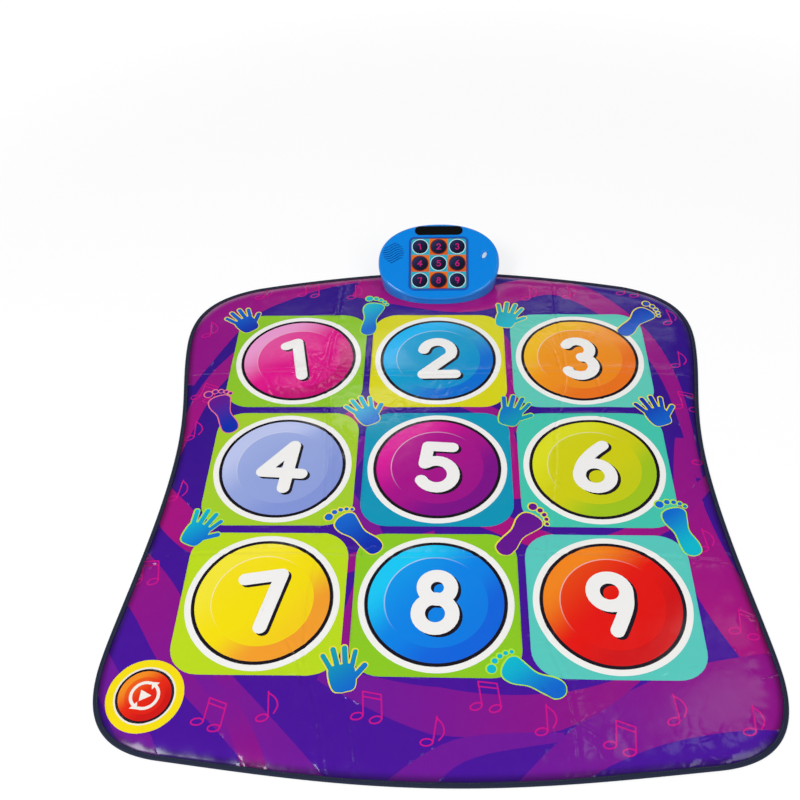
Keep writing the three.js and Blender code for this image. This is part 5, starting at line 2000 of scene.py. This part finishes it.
    def grip_dots(self) -> Thing:
        """Builds the dots below the backing, clear of its edge and its two recesses.

        Returns:
            The dots.
        """
        ring = self.inset(self.dot_set_in)
        grid = grid_points(ring, self.dot_pitch)
        clear = np.min([np.hypot(*(grid - (s * MAT_SCREW[0], MAT_SCREW[1])).T) for s in (-1, 1)], axis=0) > 8
        grid = self.inside(grid[encloses(ring, grid) & clear], 16)
        repeat = Repeater("grip_dot", 4.2, 4.2, 0.5, 8, 4)
        return finished(repeat.build("backing_dots", lifted(grid, 0.26), False, SHOP.get("dots")), "backing")

    def layers(self) -> None:
        """Builds the foams, the films and the backing."""
        zone_holes = [circle(s.x, s.y, s.radius + HOLE_GAP, 64) for s in self.spots]
        plug_holes = [circle(s.x, s.y, s.plug_radius + HOLE_GAP, 64) for s in self.spots]
        screws, heads = (
            [circle(side * MAT_SCREW[0], MAT_SCREW[1], radius, count) for side in (-1, 1)]
            for radius, count in ((2.4, 20), (4.7, 28))
        )
        through = [*screws, rounded_rectangle(0, 436, 16, 22, 2, 3)]
        foams = (
            (Layer("padding_layer", "padding_foam", "foam", "foam", 27, 2.9, 4.5, 0.5), zone_holes),
            (Layer("spacer_layer", "spacer_foam", "foam", "foam", 26.5, 1.2, 2.62), plug_holes),
        )
        for layer, holes in foams:
            self.plate(layer, [*holes, *through])
        lower = Layer("lower_film_layer", "lower_film", "clear_film", "film", self.film_set_in, 0.82, 0.98)
        upper = Layer("upper_film_layer", "upper_film", "clear_film", "film", self.film_set_in, 2.67, 2.84)
        films = [self.plate(lower, screws), self.plate(upper, [*plug_holes, *through])]
        bottom = Layer("backing_layer", "backing_sheet", "backing", "cloth", self.backing_set_in, 0.25, 0.78)
        backing = self.plate(bottom, heads)
        dots = self.grip_dots()
        self.flat_size(self.backing_set_in)
        self.flat_area(self.backing_set_in)
        for film in films:
            self.flat_size(self.film_set_in)

    def build(self) -> None:
        """Builds every piece of the mat."""
        cover = self.cover()
        for spot in self.spots:
            self.zone(spot)
        tape = self.binding()
        seam = self.stitches()
        self.layers()
        holes = sum(math.pi * (s.radius + HOLE_GAP) ** 2 for s in self.spots) * MM * MM
        self.flat_size(self.cover_set_in)
        self.flat_area(self.cover_set_in) - holes


# The console


@dataclass(frozen=True)
class FacePlane:
    """The tilted plane of the console's face."""

    centre_y: float = 451.3
    centre_z: float = 51.25
    tilt: float = 25.0

    def place(self, flat: Points, height: float = 0.0) -> Points:
        """Turns points of the face into places in the model's frame.

        Args:
            flat: The points, from the face's centre.
            height: How far they lie above the face.

        Returns:
            The places.
        """
        flat = np.asarray(flat, float)
        c, s = math.cos(math.radians(self.tilt)), math.sin(math.radians(self.tilt))
        return np.column_stack([
            flat[:, 0],
            self.centre_y + flat[:, 1] * c - height * s,
            self.centre_z + flat[:, 1] * s + height * c,
        ])


@dataclass(frozen=True)
class ScrewSize:
    """The size of a screw: its head, its shank and the recess in the head."""

    radius: float
    height: float
    shank: float
    length: float
    blade: float = 0.32

    def build(self, name: str) -> Thing:
        """Builds the screw with a cross recess, head downwards, at the origin.

        Args:
            name: The object's name.

        Returns:
            The screw.
        """
        radius, height, shank, blade = self.radius, self.height, self.shank, self.blade
        end = height + self.length
        piece = turned(name, [
            (radius - 0.35, 0), (radius - 0.1, 0.1), (radius, 0.3), (radius, height), (shank, height),
            (shank, end - 1), (shank * 0.3, end),
        ], 40, "steel")
        arm, depth = radius * 0.55, min(height * 0.7, 0.9)
        blades = [block((-wide, -deep, -1), (wide, deep, depth), SHOP.get("steel"))
                  for wide, deep in ((arm, blade), (blade, arm))]
        return sharpen(combine(piece, blades, Cut.TAKE_AWAY), 30)


@dataclass
class Console:
    """The wedge-shaped console: housing, number panel, label, button and door."""

    face: FacePlane = FacePlane()
    face_half: tuple[float, float] = (110.5, 77.0)
    foot_half: tuple[float, float] = (104.0, 65.5)
    foot_centre: float = 449.5
    base: float = 5.55
    rim_radius: float = 6.0
    wall: float = 2.2
    face_wall: float = 3.0
    segments: int = 192
    gap: float = 0.3
    panel_shift: float = -5.0
    panel_side: float = 108.0
    panel_radius: float = 10.0
    panel_ledge: float = 4.0
    pocket_depth: float = 1.4
    bezel_width: float = 2.6
    window_edge: float = 0.9
    window_thickness: float = 1.1
    cell_pitch: float = 34.0
    cell_radius: float = 14.5
    label_half: tuple[float, float] = (44.0, 9.0)
    label_shift: float = 62.0
    grille_at: tuple[float, float] = (-83.0, 17.0)
    grille_radius: float = 20.5
    grille_slots: int = 8
    grille_turn: float = 20.0
    slot_width: float = 1.5
    slot_wave: float = 1.7
    slot_wave_length: float = 36.0
    button_at: tuple[float, float] = (83.5, 11.0)
    button_turn: float = -30.0
    button_half: tuple[float, float] = (3.6, 6.4)
    hollow_margin: float = 4.2
    hollow_depth: float = 1.3
    door_half: float = 35.0
    door_base: float = 8.95
    door_height: float = 46.0
    door_reach: tuple[float, float] = (503, 539)
    tab_half: float = 7.0
    tab_height: float = 9.0
    barrel: tuple[float, float, float, float] = (1.5, 24.0, 515.05, 9.625)
    screw_z: float = 59.45
    slider_at: tuple[float, float, float] = (54.4, 511.3, 32.55)
    slider_way: tuple[float, float] = (-0.954592, 0.297916)
    foot_at: tuple[float, float] = (62, 491.5)
    case_screw_at: tuple[float, float] = (45, 506)

    def foot_ring(self, set_in: float, z: float) -> Points:
        """Returns a ring of the foot."""
        ring = superellipse(self.foot_half[0] - set_in, self.foot_half[1] - set_in, self.segments)
        return lifted(ring + (0, self.foot_centre), z)

    def face_ring(self, set_in: float, height: float) -> Points:
        """Returns a ring of the face."""
        ring = superellipse(self.face_half[0] - set_in, self.face_half[1] - set_in, self.segments)
        return self.face.place(ring, height)

    def wedge(self, name: str, set_in: float, depth: float, base: float, steps: int,
              foot_round: float = 0.0) -> Thing:
        """Builds the wedge from the foot to the rounded rim of the face.

        Args:
            name: The object's name.
            set_in: How far it lies inside the outer form.
            depth: How far its face lies below the outer face.
            base: The height of its foot.
            steps: Steps round the rim.
            foot_round: How far the foot's edge is drawn in.

        Returns:
            The closed solid.
        """
        radius = self.rim_radius - set_in
        foot = self.foot_ring(set_in, base)
        wall = self.face_ring(set_in, -depth - radius) - foot
        shares = [0, 0.25, 0.5, 0.75, 0.94]
        rings = []
        if foot_round:
            rings.append(self.foot_ring(set_in + foot_round, base))
            shares[:1] = [0.006, 0.016]
        rings += [foot + wall * share for share in shares]
        for step in range(steps + 1):
            angle = step / steps * math.pi / 2
            drop = depth + radius * (1 - math.sin(angle))
            rings.append(self.face_ring(set_in + radius * (1 - math.cos(angle)), -drop))
        return loft(name, rings, SHOP.get("azure"))

    def shell(self, name: str, foot_round: float = 0.0) -> Thing:
        """Returns the wedge with its hollow cut out."""
        hollow = self.wedge("cutter", self.wall, self.face_wall, self.base - 2, 4)
        return combine(self.wedge(name, 0, 0, self.base, 10, foot_round), [hollow], Cut.TAKE_AWAY)

    def prism(self, name: str, outline: Callable[[float], Points], levels: Sequence, key: str) -> Thing:
        """Builds a solid that stands on the face.

        Args:
            name: The object's name.
            outline: Its outline as a function of its growth.
            levels: Pairs of growth and height above the face.
            key: The finish.

        Returns:
            The solid.
        """
        return loft(name, [self.face.place(outline(grow), height) for grow, height in levels], SHOP.get(key))

    def cutter(self, outline: Callable[[float], Points], levels: Sequence) -> Thing:
        """Returns a cutter through the face from pairs of growth and height."""
        return self.prism("cutter", outline, levels, "azure")

    def square(self, half: float, radius: float, steps: int = 10) -> Callable[[float], Points]:
        """Returns the panel's outline as a function of its growth."""
        return lambda grow: rounded_rectangle(
            0, self.panel_shift, half + grow, half + grow, radius + grow, steps)

    def pill(self, margin: float) -> Callable[[float], Points]:
        """Outlines the label.

        Args:
            margin: How far the outline is larger than the label.

        Returns:
            The outline as a function of its growth.
        """
        def outline(grow: float) -> Points:
            """Returns the ring at that growth."""
            length, width = (half + margin + grow for half in self.label_half)
            return rounded_rectangle(0, self.label_shift, length, width, width - 0.01, 16)

        return outline

    def on_button(self, ring: Points) -> Points:
        """Returns a ring moved from the origin to the button's place and turn."""
        return moved(ring, *self.button_at, self.button_turn)

    def oval(self, margin: float) -> Callable[[float], Points]:
        """Outlines the button.

        Args:
            margin: How far the outline is larger than the button.

        Returns:
            The outline as a function of its growth.
        """
        half = np.array(self.button_half) + margin
        return lambda grow: self.on_button(circle(0, 0, 1, 48) * (half + grow))

    def slot(self, across: float) -> Callable[[float], Points]:
        """Draws one wavy slot of the grille.

        Args:
            across: How far it lies from the grille's middle.

        Returns:
            The outline as a function of its growth.
        """
        reach = math.sqrt(self.grille_radius ** 2 - across ** 2) - self.slot_width
        x = np.linspace(-reach, reach, 26)
        y = across + self.slot_wave * np.sin(x / self.slot_wave_length * 2 * math.pi)
        line = moved(np.stack([x, y], axis=1), *self.grille_at, self.grille_turn)
        return lambda grow: stroke(line, self.slot_width + 2 * grow)

    def wall_y(self, z: float) -> float:
        """Works out where the back wall lies.

        Args:
            z: The height.

        Returns:
            The wall's y at that height.
        """
        low = self.foot_centre + self.foot_half[1]
        high = self.face.place(np.array([(0, self.face_half[1])]), -self.rim_radius)[0]
        return low + (high[1] - low) * (z - self.base) / (high[2] - self.base)

    def hinge(self, gap: float) -> Thing:
        """Returns the hinge's barrel, with a gap round it."""
        radius, half, *place = self.barrel
        return rod(radius + gap, (-half - gap, half + gap), "X", place, SHOP.get("azure"))

    def door_tool(self, grow: float) -> Thing:
        """Builds the block that outlines the door.

        Args:
            grow: How far it is larger than the door.

        Returns:
            The block.
        """
        near, far = self.door_reach
        top = self.door_base + self.door_height
        panel, tab = (
            block((-half - grow, near, low), (half + grow, far, high + grow), SHOP.get("azure"))
            for half, low, high in ((self.door_half, self.door_base - grow, top),
                                    (self.tab_half, self.door_base + 5, top + self.tab_height))
        )
        return combine(panel, [tab], Cut.JOIN)

    def slider_tool(self) -> Thing:
        """Builds the cutter of the power slider's slot.

        Returns:
            The cutter.
        """
        along = np.array(self.slider_way)
        inwards = np.array([-along[1], along[0]])
        x, y, z = self.slider_at
        middle = np.array([x, y]) + along * 2
        ring = np.array([middle + along * a + inwards * b for a, b in rectangle((-4.3, -3.5), (4.3, 4.5))])
        return loft("cutter", [lifted(ring, z - 1.6), lifted(ring, z + 1.6)], SHOP.get("azure"))

    def hollow_tool(self) -> Thing:
        """Builds the cutter of the shallow hollow round the mode button.

        Returns:
            The cutter.
        """
        steps = 8
        angles = [step / steps * math.pi / 2 for step in range(1, steps + 1)]
        levels = [(math.sin(angle), -self.hollow_depth * math.cos(angle)) for angle in angles]
        half = np.array(self.button_half) + self.hollow_margin
        return self.cutter(lambda share: self.on_button(circle(0, 0, 1, 64) * (half * share)),
                           [*levels, (1.03, 0.02), (1.04, 2)])

    def housing(self) -> None:
        """Builds the upper housing with its pockets, slots and openings."""
        shell = self.shell("housing_shell", 0.8)
        half = self.panel_side / 2
        through = -self.face_wall - 3
        tools = [
            self.cutter(self.square(half + self.gap, self.panel_radius), [
                (0, -self.pocket_depth), (0, -0.35), (0.25, -0.08), (0.8, 0.1), (0.8, 2)]),
            self.cutter(self.square(half - self.panel_ledge, self.panel_radius), [(0, through), (0, 1)]),
            self.cutter(self.pill(self.gap), [(0, -0.6), (0, -0.3), (0.2, -0.06), (0.6, 0.1), (0.6, 2)]),
            self.cutter(self.oval(self.gap), [(0, through), (0, 1)]),
            self.hollow_tool(),
            self.door_tool(self.gap),
            self.hinge(self.gap),
            self.slider_tool(),
        ]
        pitch = 2 * self.grille_radius / (self.grille_slots + 1)
        for i in range(self.grille_slots):
            tools.append(self.cutter(self.slot((i + 1) * pitch - self.grille_radius), [
                (0, through), (0, -0.3), (0.06, -0.1), (0.2, 0.03), (0.2, 2)]))
        finished(sharpen(combine(shell, tools, Cut.TAKE_AWAY), 28, even=True), "blue_case", "upper_housing")

    def bezel(self) -> None:
        """Builds the raised frame round the number panel."""
        w = self.bezel_width
        outline = self.square(self.panel_side / 2, self.panel_radius - self.gap)
        section = [(0, -1.1), (0, 0.25), (0.12, 0.55), (0.42, 0.76), (0.8, 0.8), (1.8, 0.8), (2.18, 0.76),
                   (w - 0.12, 0.55), (w, 0.25), (w, -1.1)]
        rings = [self.face.place(outline(-set_in), height) for set_in, height in section[::-1]]
        piece = loft("panel_frame", rings, SHOP.get("frame"), round_trip=True)
        finished(sharpen(piece, 50), "dark_blue_case", "panel_bezel")

    def window_print(self, half: float, radius: float) -> PrintedSheet:
        """Draws the panel: a dark edge, nine coloured fields and nine numbered discs.

        Args:
            half: Half the window's side.
            radius: The radius of its corners.

        Returns:
            The printed window.
        """
        shift, near = self.panel_shift, self.cell_pitch / 2
        outline = self.square(half, radius, 8)
        edge = half - self.window_edge
        sheet = PrintedSheet()
        sheet.add(outline(0), "#6A2330")
        sheet.add(outline(-self.window_edge), "#2FB2CC")
        orange = [(0, 1), (-1, 0), (1, 0), (0, -1)]
        for cell in orange:
            x, y = (share * self.cell_pitch for share in cell)
            low = [-edge if share < 0 else share * self.cell_pitch - near for share in cell]
            high = [edge if share > 0 else share * self.cell_pitch + near for share in cell]
            fade = FadeInk("#F07A2C", "#E0601E", (x, shift + y + near), (x, shift + y - near))
            sheet.add(rectangle(low, high) + (0, shift), fade)
        for digit in range(1, 10):
            cell = ((digit - 1) % 3 - 1, 1 - (digit - 1) // 3)
            x, y = cell[0] * self.cell_pitch, shift + cell[1] * self.cell_pitch
            sheet.add(circle(x, y, self.cell_radius + 1.1, 64), "#8A2416" if cell in orange else "#C4F0F6")
            disc = ButtonInk(x, y, "#1A2140", "#2A3560", "#10142A", self.cell_radius, 0.8)
            sheet.add(circle(x, y, self.cell_radius - 0.5, 64), disc)
            for line in numeral(digit, x, y, 0.13, 13.5):
                sheet.add(line, "#D81E84")
        return sheet

    def window(self) -> None:
        """Builds the printed window with its nine lit cells."""
        set_in = self.bezel_width + self.gap
        half = self.panel_side / 2 - set_in
        radius = self.panel_radius - set_in
        grid = grid_points(self.square(half, radius, 8)(0), 3)
        inside = (np.abs(grid - (0, self.panel_shift)) < half - 2).all(axis=1)
        down = self.face.place(np.zeros((1, 2)), -self.window_thickness) - self.face.place(np.zeros((1, 2)))
        piece = self.window_print(half, radius).build(
            "panel_print", grid[inside], self.face.place, lambda rim: rim + down, [SHOP.get("panel")],
            "#1A2140")
        with edited(piece) as work:
            bmesh.ops.holes_fill(work, edges=[e for e in work.edges if len(e.link_faces) == 1])
            mark_edges(work, 40)
        finished(piece, "panel_print", "panel_window")

    def label(self) -> None:
        """Builds the bare black label above the panel."""
        levels = [(0, -0.3), (0, 0.2), (-0.1, 0.42), (-0.32, 0.56), (-0.7, 0.6), (-4, 0.62)]
        piece = self.prism("label_pill", self.pill(0), levels, "gloss_black")
        finished(sharpen(piece, 50, even=True), "black_gloss", "label_plate")

    def button(self) -> None:
        """Builds the small slanted mode button with its stem and flange."""
        flange = 1.4
        flange_top = -self.face_wall - self.gap
        flange_base = flange_top - 1.2
        top = 0.9 - self.hollow_depth
        # the cap is painted pale: partly its own colour, partly a painted highlight for its glint
        piece = self.prism("mode_cap", self.oval(0), [
            (-flange, flange_base - 3.6), (-flange, flange_base), (flange, flange_base), (flange, flange_top),
            (0, flange_top), (0, top), (-0.1, top + 0.3), (-0.4, top + 0.56), (-0.9, top + 0.74),
            (-1.6, top + 0.85), (-2.6, top + 0.9),
        ], "pale_glint")
        finished(sharpen(piece, 45), "blue_case", "mode_button", body=Body.MODE.value)

    def door(self) -> None:
        """Builds the battery door from the same wall as its opening."""
        slab = combine(self.shell("door_panel"), [self.door_tool(0)], Cut.KEEP_SHARED)
        combine(slab, [self.hinge(0)], Cut.JOIN)
        tools = []
        rib_pitch, rib_height, rib_depth, rib_half = 3, 1.1, 0.6, 9.0
        for i in range(5):
            z = self.door_base + 30 + i * rib_pitch
            ring = rectangle((-rib_half, z), (rib_half, z + rib_height))
            wall = self.wall_y(z)
            rings = [np.insert(ring, 1, y, axis=1) for y in (wall + 2, wall - rib_depth)]
            tools.append(loft("cutter", rings, SHOP.get("azure")))
        wall = self.wall_y(self.screw_z)
        tools += [rod(radius, (wall - depth, wall + 3), "Y", (0, self.screw_z), SHOP.get("azure"))
                  for radius, depth in ((2.9, 0.8), (1.4, 6))]
        combine(slab, tools, Cut.TAKE_AWAY)
        finished(sharpen(slab, 30, even=True), "blue_case", "battery_door", body=Body.DOOR.value)

    def fixings(self) -> None:
        """Builds the screws and the rubber feet."""
        foot = [(5.6, 0.35), (5.9, 0), (6.4, 0), (6.85, 0.25), (7, 0.7), (7, self.base)]
        for index, side in enumerate((-1, 1), 1):
            for name, size, (x, y) in (("mat_screw", ScrewSize(4.2, 0.6, 1.3, 17), MAT_SCREW),
                                       ("case_screw", ScrewSize(2.9, 1.7, 1.3, 13), self.case_screw_at)):
                node = f"{name}_{index}"
                screw = size.build(f"{name}_head_{index}")
                finished(put(screw, (side * x, y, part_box(node)[0].z / MM)), "steel", node)
            pad = sharpen(turned(f"foot_pad_{index}", foot, 56, "rubber"), 40)
            finished(put(pad, (side * self.foot_at[0], self.foot_at[1], 0)), "rubber", f"rubber_foot_{index}")
        screw = ScrewSize(2.6, 1.6, 1.1, 5).build("door_screw_head")
        screw.data.transform(Matrix.Rotation(math.radians(90), 4, "X"))
        put(screw, (0, self.wall_y(self.screw_z) + 1.1, self.screw_z))
        finished(screw, "steel", "door_screw", body=Body.DOOR.value)

    def build(self) -> None:
        """Builds every piece of the console."""
        self.housing()
        self.bezel()
        self.window()
        self.label()
        self.button()
        self.door()
        self.fixings()


def dress_nodes() -> None:
    """Gives each node that still shows its own material."""
    finish = {
        "silver": ["lower_circuit"],
        "film": ["flex_tail"],
        "navy": ["lower_housing"],
        "white": ["light_box", "flex_connector"],
        "board": ["led_board", "mode_switch", "main_board"],
        "steel": ["speaker_frame", "speaker_magnet", "spring_strip", "contact_strip"],
        "paper": ["speaker_cone"],
        "jacket": ["battery_1", "battery_2", "battery_3"],
        "black": ["power_slider", "power_switch"],
        "carbon": [f"upper_contact_{key}" for key in [*range(1, 10), "start"]],
    }
    for key, nodes in finish.items():
        for node in nodes:
            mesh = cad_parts[node].data
            mesh.materials.clear()
            mesh.materials.append(SHOP.get(key))


# Stage and camera


@dataclass
class Studio:
    """A pale floor, soft lamps and the camera at the photograph's view."""

    focal_share: float = 976.06 / 800
    sensor: float = 36.0
    pitch: float = 46.23
    yaw: float = -4.02
    roll: float = -2.92
    position: tuple[float, float, float] = (0.0159, -0.9657, 1.1659)
    floor_size: float = 14.0
    lamps: Sequence = (
        ("key", (-1.7, -1.3, 2.5), (0, 0, 0), (1.1, 1.1), 41),
        ("strip", (0.45, 2.3, 1.5), (0.1, 0.3, 0), (1.1, 0.1), 1.2),
        ("glint", (-0.4, 2.1, 1.9), (-0.1, 0.2, 0), (0.6, 0.25), 1.5),
        ("window", (1.08, 0.5, 2.1), (0.35, -0.4, 0), (0.5, 0.6), 1.1),
        ("fill", (1.7, -1.3, 2.1), (0, 0, 0), (1.4, 1.4), 17),
    )

    def camera(self) -> None:
        """Places the camera."""
        pitch, yaw, roll = (math.radians(a) for a in (self.pitch, self.yaw, self.roll))
        forward = Vector((math.sin(yaw) * math.cos(pitch), math.cos(yaw) * math.cos(pitch), -math.sin(pitch)))
        right = Vector((math.cos(yaw), -math.sin(yaw), 0))
        up = right.cross(forward)
        across = math.cos(roll) * right + math.sin(roll) * up
        above = math.cos(roll) * up - math.sin(roll) * right
        data = bpy.data.cameras.new("view")
        data.sensor_width = self.sensor
        data.lens = self.sensor * self.focal_share
        camera = linked(bpy.data.objects.new("view", data))
        turn = Matrix((across, above, -forward)).transposed().to_4x4()
        camera.matrix_world = Matrix.Translation(self.position) @ turn
        bpy.context.scene.camera = camera

    def lamp(self, name: str, place: tuple, target: tuple, size: tuple, power: float) -> None:
        """Adds one soft lamp.

        Args:
            name: The lamp's name.
            place: Where it hangs.
            target: What it faces.
            size: Its two sides.
            power: Its power in watts.
        """
        data = bpy.data.lights.new(name, "AREA")
        data.shape = "RECTANGLE"
        data.size, data.size_y = size
        data.energy = power
        lamp = linked(bpy.data.objects.new(name, data))
        way = (Vector(target) - Vector(place)).normalized()
        lamp.matrix_world = Matrix.Translation(place) @ way.to_track_quat("-Z", "Y").to_matrix().to_4x4()

    def floor(self) -> None:
        """Adds the floor, white to the eye and in reflections, with the object's shadow."""
        material = bpy.data.materials.new("Matt white floor")
        tree = empty_tree(material)
        rays = add_node(tree, "ShaderNodeLightPath").outputs
        seen = maths(tree, "MAXIMUM", rays["Is Camera Ray"], rays["Is Glossy Ray"])
        seen = maths(tree, "MAXIMUM", seen, rays["Is Transmission Ray"])
        plain = shader(tree, "BsdfDiffuse", {"Color": grey(0.8)})
        dim = shader(tree, "BsdfDiffuse", {"Color": (0.34, 0.34, 0.345, 1.0)})
        place = shader(tree, "TexCoord", output="Object")
        away = shader(tree, "VectorMath", {0: place}, "Value", operation="LENGTH")
        white = ramp(tree, away, (1.0, 0.7), (3.2, 1.0))
        glow = shader(tree, "Emission", {"Color": grey(1.0), "Strength": white})
        both = shader(tree, "AddShader", {0: dim, 1: glow})
        mix = shader(tree, "MixShader", {0: seen, 1: plain, 2: both})
        add_node(tree, "ShaderNodeOutputMaterial", {"Surface": mix})
        half = self.floor_size / 2 / MM
        corners = lifted(rectangle((-half, -half), (half, half)), 0)
        mesh_object("floor", corners, [range(4)], [material])

    def world(self) -> None:
        """Lights the scene softly: white behind the object, dimmer above it in reflections."""
        world = bpy.data.worlds.new("studio")
        bpy.context.scene.world = world
        tree = empty_tree(world)
        rays = add_node(tree, "ShaderNodeLightPath").outputs
        way = shader(tree, "TexCoord", output="Generated")
        sky = ramp(tree, shader(tree, "SeparateXYZ", {"Vector": way}, "Z"), (0.12, 1.0), (0.46, 0.05))
        eye, mirror, soft = (
            shader(tree, "Background", {"Color": grey(1.0), "Strength": strength})
            for strength in (1.0, sky, 0.46)
        )
        shiny = maths(tree, "MAXIMUM", rays["Is Glossy Ray"], rays["Is Transmission Ray"])
        first = shader(tree, "MixShader", {0: shiny, 1: soft, 2: mirror})
        second = shader(tree, "MixShader", {0: rays["Is Camera Ray"], 1: first, 2: eye})
        add_node(tree, "ShaderNodeOutputWorld", {"Surface": second})

    def build(self) -> None:
        """Builds the stage, the lamps and the camera."""
        bpy.context.scene.view_settings.view_transform = "Standard"
        self.floor()
        self.world()
        for lamp in self.lamps:
            self.lamp(*lamp)
        self.camera()


def main() -> None:
    """Builds the sub-assemblies in order."""
    logging.basicConfig(level=logging.INFO, format="%(message)s")
    Studio().build()
    low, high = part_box("edge_binding")
    outline = MatOutline(high.x / MM, -low.y / MM, high.y / MM)
    Mat(outline, zone_spots()).build()
    Console().build()
    dress_nodes()


if __name__ == "__main__":
    main()
